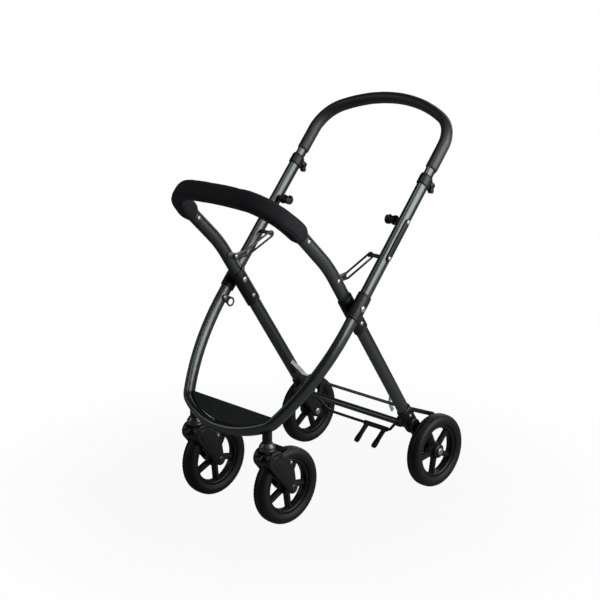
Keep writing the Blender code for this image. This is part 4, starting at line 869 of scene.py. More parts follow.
def make_tubes():
    """Every bent or straight tube of the frame."""
    path = [front_point(x, -down) for x, down in front_path()]
    dress(tube("front_tube_fine", path, TUBE), "frame_paint", "front_tube")
    dress(tube("handle_tube_fine", handle_path(HANDLE_BOTTOM), INNER_TUBE), "frame_paint", "handle_tube")
    inserted = bumper_path(LEG_RUN_END - BUMPER_INSERT)
    dress(tube("bumper_tube_fine", inserted, INNER_TUBE), "frame_paint", "bumper_tube")
    for word, side in SIDES.items():
        leg = tube("rear_leg_fine_" + word, rear_leg_path(side * REAR_TUBE_X), TUBE)
        dress(leg, "frame_paint", "rear_leg_" + word)
    for node in ("rear_cross_bar", "rear_cross_wire"):
        low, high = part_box(node)
        centre = (low + high) * 0.5
        bar = rod(node + "_fine", across(centre, low.x), across(centre, high.x), (high.z - low.z) * 0.5)
        dress(bar, "frame_paint", node)


def make_grip():
    """The foam grip: a soft sleeve round the handle's bow, rounded in at its ends."""
    frames = frames_along(handle_path(GRIP_START), GRIP_STEP)
    length = frames[-1][3]
    rings, places = [], []
    for point, wide, narrow, place in frames:
        edge = min(place, length - place) / GRIP_SOFT_END
        full = sqrt(1.0 - (1.0 - edge) ** 2) if edge < 1.0 else 1.0
        half = [inner + GAP + (outer - inner - GAP) * (0.35 + 0.65 * full)
                for inner, outer in zip(INNER_TUBE, GRIP)]
        swollen = []
        for spot in ring(point, wide, narrow, half, GRIP_SIDES, GRIP_SQUARENESS):
            rise = 0.00022 * noise.noise(spot * 45.0) + 0.00010 * noise.noise(spot * 210.0)
            swollen.append(spot + (spot - point).normalized() * rise)
        rings.append(swollen)
        places.append(place)
    grip = skin("handle_grip_foam", rings, places=places)
    dress(grip, "foam", "handle_grip")


def swell(item, pinned):
    """Inflates a cover a little as cloth, with its pinned points held."""
    before = [vertex.co.copy() for vertex in item.data.vertices]
    group = item.vertex_groups.new(name="held")
    group.add(pinned, 1.0, "REPLACE")
    settings = item.modifiers.new("cloth", "CLOTH").settings
    for key, value in CLOTH.items():
        setattr(settings, key, value)
    settings.effector_weights.gravity = 0.0
    for number in range(1, CLOTH_FRAMES + 1):
        bpy.context.scene.frame_set(number)
    graph = bpy.context.evaluated_depsgraph_get()
    after = [vertex.co.copy() for vertex in item.evaluated_get(graph).data.vertices]
    item.modifiers.clear()
    item.vertex_groups.clear()
    bpy.context.scene.frame_set(1)
    for vertex, old, new in zip(item.data.vertices, before, after):
        move = new - old
        if move.length > 0.0:
            move = move.normalized() * PAD_SWELL_CAP * (1.0 - exp(-move.length / PAD_SWELL_CAP))
        vertex.co = old + move


def make_pad():
    """The bumper's padded cover: squarish, sewn along two piped seams, gathered at its ends."""
    frames = frames_along(bumper_path(LEG_RUN_END + PAD_GAP), PAD_STEP)
    length = frames[-1][3]
    rings, places = [], []
    for point, wide, narrow, place in frames:
        rise = sin(min(min(place, length - place) / PAD_DRAWN_IN, 1.0) * pi / 2.0)
        half = [low + (high - low) * rise - PAD_SLACK for low, high in zip(PAD_END, PAD)]
        spots = ring(point, wide, narrow, half, PAD_SIDES, 2.0 + (PAD_SQUARENESS - 2.0) * rise)
        for k, spot in enumerate(spots):
            crease = PAD_CREASE * noise.noise(Vector((place * 38.0, k * 0.55, 3.1)))
            pleat = PAD_GATHER * (1.0 - rise) * sin(2.0 * pi * k / 3.0)
            spots[k] = spot + (spot - point).normalized() * (crease + pleat)
        rings.append(spots)
        places.append(place)
    item = skin("bumper_pad_cover", rings, caps=False, places=places)
    eighth = PAD_SIDES // 8
    seams = (eighth, PAD_SIDES - eighth)
    if (rings[len(rings) // 2][PAD_SIDES // 4] - frames[len(frames) // 2][0]).y > 0.0:
        seams = (PAD_SIDES // 2 - eighth, PAD_SIDES // 2 + eighth)
    count = len(rings) * PAD_SIDES
    held = {*range(PAD_SIDES), *range(count - PAD_SIDES, count)}
    for seam in seams:
        held.update(range(seam, count, PAD_SIDES))
    swell(item, sorted(held))
    lines = [[item.data.vertices[i].co.copy() for i in range(seam, count, PAD_SIDES)] for seam in seams]
    finer = item.modifiers.new("finer", "SUBSURF")
    finer.levels = finer.render_levels = 1
    apply_modifiers(item)
    work = bmesh.new()
    work.from_mesh(item.data)
    bmesh.ops.holes_fill(work, edges=[e for e in work.edges if e.is_boundary], sides=0)
    bmesh.ops.recalc_face_normals(work, faces=work.faces)
    work.to_mesh(item.data)
    work.free()
    dress(item, "pad", "bumper_pad")
    surface = BVHTree.FromObject(item, bpy.context.evaluated_depsgraph_get())
    for name, line, hand in zip(("upper", "lower"), lines, (-1.0, 1.0)):
        rings = rings_along(frames_along(line, PIPING_STEP), (PIPING_RADIUS, PIPING_RADIUS), PIPING_SIDES)
        dress(skin("pad_piping_" + name, rings), "pad", look="tyre", body=BODY_OF["bumper_pad"])
        make_stitches(name, line, surface, hand)


def add_stitch(vertices, faces, centre, along, first, second, profile):
    """Adds a short thread to a mesh, from a profile of (share along, girth, lift)."""
    start = len(vertices)
    for share, girth, lift in profile:
        spot = centre + along * STITCH_LENGTH * share + second * STITCH_RADIUS * lift
        vertices += ring(spot, first, second, (STITCH_RADIUS * girth, STITCH_RADIUS * girth), STITCH_SIDES)
    last = len(vertices) - STITCH_SIDES
    for low in range(start, last, STITCH_SIDES):
        high = low + STITCH_SIDES
        for k in range(STITCH_SIDES):
            after = (k + 1) % STITCH_SIDES
            faces.append((low + k, low + after, high + after, high + k))
    for low in (start, last):
        faces.append(tuple(range(low, low + STITCH_SIDES)))


def make_stitches(name, line, surface, hand):
    """A row of thread stitches beside one seam of the pad."""
    spots = even(line, STITCH_SPACING)
    vertices, faces = [], []
    for before, here, after in zip(spots, spots[1:], spots[2:]):
        along = (after - before).normalized()
        aside = along.cross(surface.find_nearest(here)[1]).normalized() * hand
        place, normal = surface.find_nearest(here + aside * STITCH_FROM_SEAM)[:2]
        add_stitch(vertices, faces, place, along, along.cross(normal).normalized(), normal, PAD_STITCH)
    item = new_object("pad_stitches_" + name, vertices, faces)
    dress(item, "pad", look="foam", body=BODY_OF["bumper_pad"])


def mirrored(half):
    """A whole profile of (along, radius) from its first half."""
    return half + [(-along, radius) for along, radius in reversed(half)]


def make_tyre(name):
    """A tyre on the X axis: rounded shoulders, two grooves and a band of shallow blocks."""
    wide = TYRE_HALF_WIDTH
    half = [(-RIM_HALF_WIDTH - 0.0010, TYRE_INNER_RADIUS), (-wide * 0.86, TYRE_INNER_RADIUS + 0.0030)]
    half += [(-wide * share, WHEEL_RADIUS - below) for share, below in TYRE_CROWN]
    around = WHEEL_SIDES * 2
    rings = []
    for along, radius in soften(mirrored(half), 0.0022, 3, True):
        shoulder = wide * 0.42 < abs(along) < wide * 0.98 and radius > WHEEL_RADIUS - TREAD_BAND
        points = []
        for k in range(around):
            sunk = shoulder and k * TREAD_BLOCKS / around % 1.0 < TREAD_GAP
            reach = radius - TREAD_DEPTH if sunk else radius
            angle = 2.0 * pi * k / around
            points.append(Vector((along, reach * cos(angle), reach * sin(angle))))
        rings.append(points)
    return skin(name, rings, closed=True)


def make_rim(name):
    """A five-spoke rim on the X axis: barrel, spoke disc with ribs, and stepped hub."""
    outer = TYRE_INNER_RADIUS - GAP
    barrel = outer - RIM_RING

    def spun(name, half, sides, soft):
        return turned(name, Vector((0.0, 0.0, 0.0)), X_AXIS, mirrored(half), sides, True, soft)

    rim = spun(name, [(-RIM_HALF_WIDTH, outer), (-RIM_HALF_WIDTH, barrel + 0.0026),
                      (-RIM_HALF_WIDTH + 0.0030, barrel)], WHEEL_SIDES, 0.0008)
    disc = spun("tool", [(-WEB_HALF_WIDTH, HUB_RADIUS * 0.6), (-WEB_HALF_WIDTH * 0.8, barrel + 0.0020)],
                WHEEL_SIDES, 0.0001)
    inner, reach = HUB_RADIUS * 1.1 + WINDOW_MARGIN, barrel - WINDOW_MARGIN
    low, high = [pi / SPOKE_COUNT - atan2(SPOKE_WIDTH * 0.5, radius) for radius in (inner, reach)]
    for number in range(SPOKE_COUNT):
        middle = 2.0 * pi * number / SPOKE_COUNT
        turns = [(reach, middle - high + high * k / 5.0) for k in range(11)]
        turns += [(inner, middle + low - low * k) for k in range(3)]
        outline = [Vector((-0.0300, radius * cos(angle), radius * sin(angle))) for radius, angle in turns]
        cut(disc, prism("tool", soften(outline, 0.0034, 4, True), X_AXIS * 0.0600))
    bevelled(disc, 0.0009)
    hub = spun("tool", [
        (-HUB_HALF_WIDTH, AXLE_RADIUS), (-HUB_HALF_WIDTH, HUB_RADIUS * 0.62),
        (-HUB_HALF_WIDTH * 0.86, HUB_RADIUS * 0.68), (-HUB_HALF_WIDTH * 0.80, HUB_RADIUS * 0.94),
        (-WEB_HALF_WIDTH * 1.4, HUB_RADIUS), (-WEB_HALF_WIDTH * 0.9, HUB_RADIUS * 1.1)], 64, 0.0008)
    ribs = []
    for number in range(SPOKE_COUNT):
        turn = Matrix.Rotation(2.0 * pi * (number + 0.5) / SPOKE_COUNT, 4, "X")
        for face in (-1.0, 1.0):
            rib = capsule("tool", Vector((0.0, HUB_RADIUS, 0.0)), 0.0034, Vector((0.0, barrel, 0.0)), 0.0028,
                          face * WEB_HALF_WIDTH * 0.6, face * (WEB_HALF_WIDTH + 0.0016))
            bevelled(rib, 0.0007)
            rib.data.transform(turn)
            ribs.append(rib)
    return merge(rim, disc, hub, *ribs)


def make_wheels():
    """Four wheels from one tyre form and one rim form, each turned as in the photograph."""
    forms = ((make_tyre("tyre_form"), "_tyre", "tyre"), (make_rim("rim_form"), "_rim", "plastic"))
    for name, turn in WINDOW_TURNS.items():
        low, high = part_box(name + "_rim")
        for form, part, slot in forms:
            item = add_object(name + part + "_fine", form.data.copy())
            item.data.transform(Matrix.Rotation(turn, 4, "X"))
            item.matrix_world = Matrix.Translation((low + high) * 0.5)
            dress(item, slot, name + part)
    for form, _, _ in forms:
        bpy.data.objects.remove(form, do_unlink=True)


def domed_pin(stem, word, shank, head_radius, head, look=None):
    """A rivet or bolt along X with domed heads, where its node is."""
    low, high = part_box(stem + word)
    length = high.x - low.x
    dome = [(head * rise, head_radius * wide) for rise, wide in DOME] + [(head, shank)]
    profile = dome + [(length - along, radius) for along, radius in reversed(dome)]
    item = turned(stem + "fine_" + word, across((low + high) * 0.5, low.x), X_AXIS, profile, soft=head * 0.3)
    return dress(item, "steel", stem + word, look=look)


def cap_profile():
    """A rivet head's dome, a hair larger than the head it covers."""
    radius, rise = RIVET_HEAD_RADIUS + CAP_OVER, RIVET_HEAD + CAP_OVER
    return [(0.0, radius), (rise * 0.45, radius * 0.97), (rise * 0.80, radius * 0.78), (rise, radius * 0.40),
            (rise, POINT)]


def ends(node, side):
    """Where a node begins and ends along X, from the middle of the frame outwards."""
    low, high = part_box(node)
    return (low.x, high.x) if side > 0 else (high.x, low.x)


def sleeve(name, base, up, profile):
    """A sleeve round a straight oval tube from a profile of (up, wide, narrow), softened."""
    wide_axis = up.cross(X_AXIS).normalized()
    rings = [ring(base + up * rise, wide_axis, X_AXIS, (wide, narrow))
             for rise, wide, narrow in soften(profile, 0.0012, 4, True)]
    return skin(name, rings, closed=True)


def housing_profile(top, bottom):
    """A sleeve with a shallow waistline near each end."""
    inner = grown(TUBE, GAP)
    points = [(top, *inner), (bottom, *inner)]
    for end, step, shape in ((bottom, HOUSING_STEP, HOUSING_SHAPE),
                             (top, -HOUSING_STEP, HOUSING_SHAPE[::-1])):
        points += [(end + step * share, *grown(inner, HOUSING_WALL - sunk)) for share, sunk in shape]
    return points


def make_housings(word, side):
    """The two pivot housings with their rivet, and the pivot bolt."""
    for part, place, up, size in (("front", front_point(side * FRONT_TUBE_X, 0.0), FRONT_UP, FRONT_HOUSING),
                                  ("rear", rear_point(side * REAR_TUBE_X, 0.0), REAR_UP, REAR_HOUSING)):
        housing = sleeve("%s_housing_fine_%s" % (part, word), place, up, housing_profile(*size))
        dress(housing, "plastic", "%s_pivot_housing_%s" % (part, word))
    place = rear_point(0.0, -HOUSING_RIVET_DOWN)
    reach = TUBE[1] + GAP + HOUSING_WALL - HEAD_BITE
    for part, way in (("inner", -side), ("outer", side)):
        rivet("housing_rivet_%s_%s" % (part, word), place, side * REAR_TUBE_X + way * reach, way, [
            (0.0, RIVET_HEAD_RADIUS), (HEAD_BITE, RIVET_HEAD_RADIUS),
            (HEAD_BITE + RIVET_HEAD * 0.6, RIVET_HEAD_RADIUS * 0.80),
            (HEAD_BITE + RIVET_HEAD, RIVET_HEAD_RADIUS * 0.35), (HEAD_BITE + RIVET_HEAD, POINT)],
            "rear_frame")
    domed_pin("pivot_bolt_", word, 0.0050, 0.0080, 0.0025)


def make_ear(word, side):
    """The ear on the rear leg that a fold link turns on, with its two rivets."""
    inner, outer = ends("link_ear_" + word, side)
    ear_out = side * (REAR_TUBE_X - TUBE[1] - GAP)
    ear_in = ear_out - side * EAR_THICKNESS
    mount = rear_point(0.0, EAR_RIVET_UP)
    ear = capsule("link_ear_fine_" + word, mount, EAR_RADIUS, LINK_PIVOT, LINK_EYE_RADIUS, ear_in, ear_out)
    bevelled(ear, 0.0004)
    for part, place, start, end in (("eye", LINK_PIVOT, ear_in, inner),
                                    ("rivet", mount, side * (REAR_TUBE_X + TUBE[1]), outer)):
        long = abs(end - start)
        rivet("link_%s_head_%s" % (part, word), place, start, 1.0 if end > start else -1.0, [
            (0.0, 0.0024), (long - RIVET_HEAD, 0.0024), (long - RIVET_HEAD, RIVET_HEAD_RADIUS),
            (long - RIVET_HEAD * 0.4, RIVET_HEAD_RADIUS * 0.88), (long, RIVET_HEAD_RADIUS * 0.4),
            (long, POINT)], "rear_frame", soft=0.0004)
    dress(ear, "steel", "link_ear_" + word, look="black_steel")


def make_link(word):
    """The fold link, a bent plate with a straight slot."""
    low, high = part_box("link_" + word)
    half = LINK_SLOT_HALF + LINK_BAR
    straight = LINK_PIN - LINK_PIVOT
    angle = atan2(straight.z, straight.y) + LINK_SLOT_TILT
    along = Vector((0.0, cos(angle), sin(angle)))
    line = LINK_PIVOT + Vector((0.0, sin(angle), -cos(angle))) * LINK_SLOT_DROP
    start, end = line + along * LINK_SOLID, line + along * straight.dot(along)
    plate = capsule("link_fine_" + word, LINK_PIVOT, LINK_EYE_RADIUS, start, half, low.x, high.x)
    join(plate, capsule("tool", start, half, end, half, low.x + 0.00005, high.x - 0.00005))
    cut(plate, capsule("tool", start, LINK_SLOT_HALF, end, LINK_SLOT_HALF, low.x - 0.003, high.x + 0.003))
    dress(bevelled(plate, 0.0006), "steel", "link_" + word, look="black_steel")


def make_link_pin(word, side):
    """The headed pin that slides in the link's slot."""
    inner, outer = [abs(x) for x in ends("link_pin_" + word, side)]
    face = FRONT_TUBE_X - TUBE[1] - GAP
    neck, tip = inner + RIVET_HEAD, outer - RIVET_HEAD
    head, post = LINK_SLOT_HALF + 0.0016, 0.0050
    pin = turned("link_pin_fine_" + word, across(LINK_PIN, 0.0), X_AXIS * side, [
        (inner, POINT), (inner, LINK_SLOT_HALF * 0.7), (inner + RIVET_HEAD * 0.5, head), (neck, head),
        (neck, RIVET_SHANK), (neck + 0.0036, RIVET_SHANK), (neck + 0.0036, post), (face, post),
        (face, RIVET_SHANK), (tip, RIVET_SHANK), (tip, RIVET_HEAD_RADIUS),
        (outer - RIVET_HEAD * 0.4, RIVET_HEAD_RADIUS * 0.85), (outer, RIVET_HEAD_RADIUS * 0.4),
        (outer, POINT)], soft=0.0004)
    dress(pin, "steel", "link_pin_" + word, look="black_steel")
    rivet("link_pin_head_" + word, LINK_PIN, side * tip, side, cap_profile(), "front_frame")


def make_plates(word, side):
    """The slender side plate and the seat stud through it."""
    stud = front_point(0.0, STUD_UP)
    low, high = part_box("side_plate_" + word)
    plate = capsule("side_plate_fine_" + word, LINK_PIN, PLATE_HALF_WIDTH, stud, PLATE_HALF_WIDTH,
                    low.x, high.x)
    dress(bevelled(plate, 0.0010, 3), "plastic", "side_plate_" + word)
    end = abs(ends("hook_stud_" + word, side)[1])
    face = FRONT_TUBE_X - TUBE[1] - GAP
    arm = face - STUD_ARM_LENGTH
    profile = [
        (end, POINT), (end, RIVET_HEAD_RADIUS * 0.5), (end - RIVET_HEAD * 0.5, RIVET_HEAD_RADIUS * 0.9),
        (end - RIVET_HEAD, RIVET_HEAD_RADIUS), (end - RIVET_HEAD, 0.0030), (face, 0.0030),
        (face, STUD_ARM_RADIUS * 1.5), (face - 0.0012, STUD_ARM_RADIUS * 1.5),
        (face - 0.0016, STUD_ARM_RADIUS), (arm, STUD_ARM_RADIUS), (arm, STUD_KNOB_RADIUS)]
    profile += [(arm - STUD_KNOB_LENGTH * share, radius) for share, radius in (
        (0.26, STUD_KNOB_RADIUS), (0.40, STUD_WAIST_RADIUS), (0.60, STUD_WAIST_RADIUS),
        (0.74, STUD_KNOB_RADIUS), (1.0, STUD_KNOB_RADIUS), (1.0, POINT))]
    knob = turned("hook_stud_fine_" + word, across(stud, 0.0), X_AXIS * side, profile, soft=0.0012)
    wide = STUD_KNOB_RADIUS * 0.35
    corner = Vector((side * (arm - STUD_KNOB_LENGTH - 0.0100), stud.y, stud.z + STUD_KNOB_RADIUS * 0.30))
    outline = [corner + Vector((0.0, dy, dz))
               for dy, dz in ((-wide, 0.0), (wide, 0.0), (wide, 0.02), (-wide, 0.02))]
    cut(knob, prism("tool", outline, X_AXIS * side * (STUD_KNOB_LENGTH * 0.85 + 0.0100)))
    dress(bevelled(knob, 0.0004), "plastic", "hook_stud_" + word)
    rivet("hook_stud_head_" + word, stud, side * (end - RIVET_HEAD), side, cap_profile(), "front_frame")


def make_collar(word, x):
    """The collar at the top of the front tube, with the cheeks of its release lever."""
    snug, bore = grown(TUBE, GAP), grown(INNER_TUBE, SLIDING)
    outer = grown(snug, COLLAR_WALL)
    edge = grown(outer, -0.0008)
    collar = sleeve("collar_fine_" + word, front_point(x, FRONT_TOP), FRONT_UP, [
        (-COLLAR_DOWN, *snug), (-COLLAR_DOWN, *edge), (-COLLAR_DOWN + 0.0020, *outer),
        (COLLAR_UP * 0.35, *outer), (COLLAR_UP * 0.60, *edge), (COLLAR_UP, *grown(bore, COLLAR_WALL)),
        (COLLAR_UP, *bore), (GAP, *bore), (GAP, *snug)])
    inside = front_point(0.0, FRONT_TOP - LEVER_PIVOT_DOWN, TUBE[0] - 0.0017)
    rise = FRONT_UP * LEVER_ROOT_RADIUS
    back = FRONT_BACK * LEVER_ROOT_RADIUS
    outline = [LEVER_PIVOT + rise * cos(pi * k / 16.0) + back * sin(pi * k / 16.0) for k in range(17)]
    outline += [inside - rise, inside + rise]
    for hand in (-1.0, 1.0):
        near = x + hand * (LEVER_HALF_WIDTH + GAP)
        cheek = prism("tool", [across(p, near) for p in outline], X_AXIS * hand * LEVER_CHEEK)
        merge(collar, bevelled(cheek, 0.0006))
    dress(collar, "plastic", "collar_" + word)


def make_lever(word, x):
    """The release lever on the back of a collar."""
    aim = FRONT_BACK * sin(LEVER_LEAN) - FRONT_UP * cos(LEVER_LEAN)
    lever = slab(LEVER_PIVOT, LEVER_ROOT_RADIUS, LEVER_PIVOT + aim * LEVER_LENGTH, LEVER_TIP_RADIUS, x,
                 LEVER_HALF_WIDTH, "release_lever_fine_" + word)
    bevelled(lever, 0.0010, 3)
    out = X_AXIS.cross(aim).normalized()
    out = out if out.dot(FRONT_BACK) > 0.0 else -out
    for share in (0.55, 0.70, 0.85):
        rise = LEVER_ROOT_RADIUS * (1.0 - share) + LEVER_TIP_RADIUS * share - 0.0003
        add_bar(lever, LEVER_PIVOT + aim * LEVER_LENGTH * share + out * rise, x, LEVER_HALF_WIDTH * 0.72,
                0.0007, 10)
    add_bar(lever, LEVER_PIVOT, x, LEVER_HALF_WIDTH + GAP + LEVER_CHEEK, 0.0018, 16)
    dress(lever, "plastic", "release_lever_" + word)


def make_socket(word, axis):
    """The castor's socket under the front tube."""
    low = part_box("castor_socket_" + word)[0].z
    top = front_point(0.0, -CASTOR_DOWN).z - SOCKET_TOP_DROP
    groove = SOCKET_RADIUS - 0.0004
    socket = turned("castor_socket_fine_" + word, axis, UP, [
        (low, POINT), (low, SOCKET_RADIUS), (low + 0.0030, SOCKET_RADIUS), (low + 0.0034, groove),
        (low + 0.0044, groove), (low + 0.0048, SOCKET_RADIUS), (top, SOCKET_RADIUS), (top, POINT)], 48)
    dress(socket, "plastic", "castor_socket_" + word)


def make_fork(word, side, axis, hub):
    """The castor's fork: cheeks, crown, fender and wings, hollowed for the wheel and the lock."""
    base = CROWN_TOP_Z - CROWN_HEIGHT
    crown = Vector((0.0, CASTOR_AXIS_Y + CROWN_SHIFT, base))
    fork = slab(hub, FORK_BOSS_RADIUS, crown, CROWN_RADIUS, hub.x, FORK_OUTER, "castor_fork_fine_" + word)
    bevelled(fork, 0.0022, 3)
    seat = turned("tool", axis, UP, [
        (base, POINT), (base, CROWN_SEAT_RADIUS), (CROWN_TOP_Z, CROWN_SEAT_RADIUS), (CROWN_TOP_Z, POINT)],
        48, soft=0.0030)
    fender, reach = [], FORK_OUTER - 0.0008
    for radius, steps in ((FORK_BORE_RADIUS + FENDER_THICKNESS, range(17)),
                          (FORK_BORE_RADIUS - 0.0020, range(16, -1, -1))):
        for k in steps:
            angle = FENDER_ARC[0] + (FENDER_ARC[1] - FENDER_ARC[0]) * k / 16.0
            fender.append(hub + Vector((-reach, radius * cos(angle), radius * sin(angle))))
    shell = bevelled(prism("tool", fender, X_AXIS * 2.0 * reach), 0.0014, 3)
    corner = hub + Vector((0.0, *FORK_WING))
    wing = slab(hub, FORK_BOSS_RADIUS * 0.8, corner, FORK_WING_RADIUS, hub.x, FORK_OUTER - 0.0010)
    web = slab(crown, CROWN_RADIUS * 0.8, corner, FORK_WING_RADIUS, hub.x, FORK_OUTER - 0.0020)
    rib = slab(hub, FORK_BOSS_RADIUS * 0.70, crown, CROWN_RADIUS * 0.42, hub.x, FORK_OUTER + 0.0008)
    join(fork, seat, shell, bevelled(wing, 0.0014, 3), bevelled(web, 0.0014, 3), bevelled(rib, 0.0006))
    space = cutter(across(hub, hub.x - FORK_INNER), across(hub, hub.x + FORK_INNER), FORK_BORE_RADIUS, 96)
    lid = [axis + Vector((dx, dy, CROWN_TOP_Z))
           for dx, dy in ((-0.05, -0.05), (0.05, -0.05), (0.05, 0.09), (-0.05, 0.09))]
    lock = across(LOCK_PIVOT, hub.x)
    wide, back = LOCK_HALF_WIDTH + GAP, LOCK_ROOT_RADIUS + GAP * 2.0
    pocket = [lock + Vector((-wide, dy, dz))
              for dy, dz in ((back, -0.0100), (back, 0.0300), (-0.0400, 0.0300), (-0.0400, -0.0160))]
    cut(fork, space, prism("tool", lid, UP * 0.0500), prism("tool", pocket, X_AXIS * 2.0 * wide))
    dress(moulded(fork), "plastic", "castor_fork_" + word)
    for hand in (-1.0, 1.0):
        name = "fork_screw_%s_%s" % (word, "outer" if hand * side > 0 else "inner")
        rivet(name, corner, corner.x + hand * (FORK_OUTER - 0.0020), hand, [
            (0.0, 0.0042), (0.0016, 0.0042), (0.0024, 0.0030), (0.0026, 0.0012), (0.0026, POINT)],
            "castor_" + word, SCREW_SIDES, 0.0003)


def make_castor_collar(word, axis):
    """The ring between a castor's fork and its socket."""
    height = CASTOR_COLLAR_HEIGHT
    collar = turned("castor_collar_fine_" + word, axis + UP * (CROWN_TOP_Z + GAP), UP, [
        (0.0, STEM_RADIUS + GAP), (0.0, CASTOR_COLLAR_RADIUS), (height * 0.16, CASTOR_COLLAR_RADIUS),
        (height * 0.20, CASTOR_COLLAR_RADIUS - 0.0006), (height * 0.27, CASTOR_COLLAR_RADIUS - 0.0006),
        (height * 0.31, CASTOR_COLLAR_RADIUS), (height * 0.55, CASTOR_COLLAR_RADIUS),
        (height * 0.82, SOCKET_RADIUS + 0.0042), (height, SOCKET_RADIUS + 0.0020),
        (height, STEM_RADIUS + GAP)], 64, closed=True, soft=0.0010)
    dress(collar, "collar", "castor_collar_" + word)


def make_lock(word, x):
    """The swivel lock's lever at the front of a castor's crown."""
    lock = across(LOCK_PIVOT, x)
    aim = Vector((0.0, -cos(LOCK_LEAN), -sin(LOCK_LEAN)))
    lever = slab(lock, LOCK_ROOT_RADIUS, lock + aim * LOCK_REACH, LOCK_TIP_RADIUS, lock.x, LOCK_HALF_WIDTH,
                 "swivel_lock_fine_" + word)
    bevelled(lever, 0.0014, 3)
    out = Vector((0.0, -sin(LOCK_LEAN), cos(LOCK_LEAN)))
    for share in (0.45, 0.65, 0.85):
        place = lock + aim * LOCK_REACH * share + out * (LOCK_ROOT_RADIUS - 0.0002)
        add_bar(lever, place, lock.x, LOCK_HALF_WIDTH * 0.75, 0.0008, 10)
    dress(lever, "plastic", "swivel_lock_" + word)


def make_castor(word, side):
    """The socket, fork, collar, swivel lock lever and axle of one front corner."""
    axis = Vector((side * CASTOR_X, CASTOR_AXIS_Y, 0.0))
    hub = Vector((side * CASTOR_X, FRONT_AXLE.y, WHEEL_RADIUS))
    make_socket(word, axis)
    make_fork(word, side, axis, hub)
    make_castor_collar(word, axis)
    make_lock(word, hub.x)
    domed_pin("front_axle_", word, AXLE_RADIUS, AXLE_HEAD_RADIUS, AXLE_HEAD, look="black_steel")


def make_bracket(word, side):
    """The rear bracket with its leg socket, axle boss, open triangular brace and bar boss."""
    half = grown(TUBE, GAP + BRACKET_WALL)
    base = rear_point(side * REAR_TUBE_X, 0.0)
    wide_axis = REAR_UP.cross(X_AXIS).normalized()
    levels = ((BRACKET_DEPTH, 0.78), (BRACKET_DEPTH * 0.94, 0.92), (BRACKET_DEPTH * 0.84, 1.0),
              (0.0030, 1.0), (0.0, 0.95))
    block = skin("rear_bracket_fine_" + word, [
        ring(base - REAR_UP * (BRACKET_UP + down), wide_axis, X_AXIS, (half[0] * scale, half[1] * scale))
        for down, scale in levels])
    inner, outer = side * (BRACKET_OUTER_X - BRACKET_WEB), side * BRACKET_OUTER_X
    step = side * 0.0010
    foot = rear_point(0.0, -BRACKET_UP - BRACKET_DEPTH * 0.75)
    heel = REAR_AXLE + Vector((0.0, BRACE_BACK, BRACE_UP))
    shoulder = rear_point(0.0, -BRACKET_UP - BRACKET_ARM_RADIUS * 1.5, half[0] * 0.5)
    boss = CROSS_BAR_RADIUS + BRACKET_WALL
    join(block,
         capsule("tool", foot, BRACKET_BOSS_RADIUS, REAR_AXLE, BRACKET_BOSS_RADIUS, inner, outer),
         capsule("tool", shoulder, BRACKET_ARM_RADIUS, heel, BRACKET_ARM_RADIUS, inner + step, outer - step),
         capsule("tool", heel, BRACKET_ARM_RADIUS * 1.1, REAR_AXLE, BRACKET_ARM_RADIUS * 1.4,
                 inner + 2.0 * step, outer - 2.0 * step),
         capsule("tool", CROSS_BAR, boss, CROSS_BAR + REAR_BACK * CROSS_BAR_FORWARD * 0.5, boss,
                 side * (BRACKET_INNER_X + BAR_BOSS_STEP), side * (REAR_TUBE_X + BAR_BOSS_STEP)))
    dress(moulded(block), "plastic", "rear_bracket_" + word)
    domed_pin("rear_axle_", word, AXLE_RADIUS, AXLE_HEAD_RADIUS, AXLE_HEAD)
    place = rear_point(0.0, -BRACKET_UP - 0.0230)
    for part, way in (("outer", side), ("inner", -side)):
        x = side * REAR_TUBE_X + way * (half[1] - HEAD_BITE)
        rivet("bracket_rivet_%s_%s" % (part, word), place, x, way, [
            (0.0, RIVET_HEAD_RADIUS * 0.8), (0.0012, RIVET_HEAD_RADIUS * 0.8),
            (0.0022, RIVET_HEAD_RADIUS * 0.6), (0.0026, RIVET_HEAD_RADIUS * 0.25), (0.0026, POINT)],
            "rear_frame", SCREW_SIDES, 0.0003)


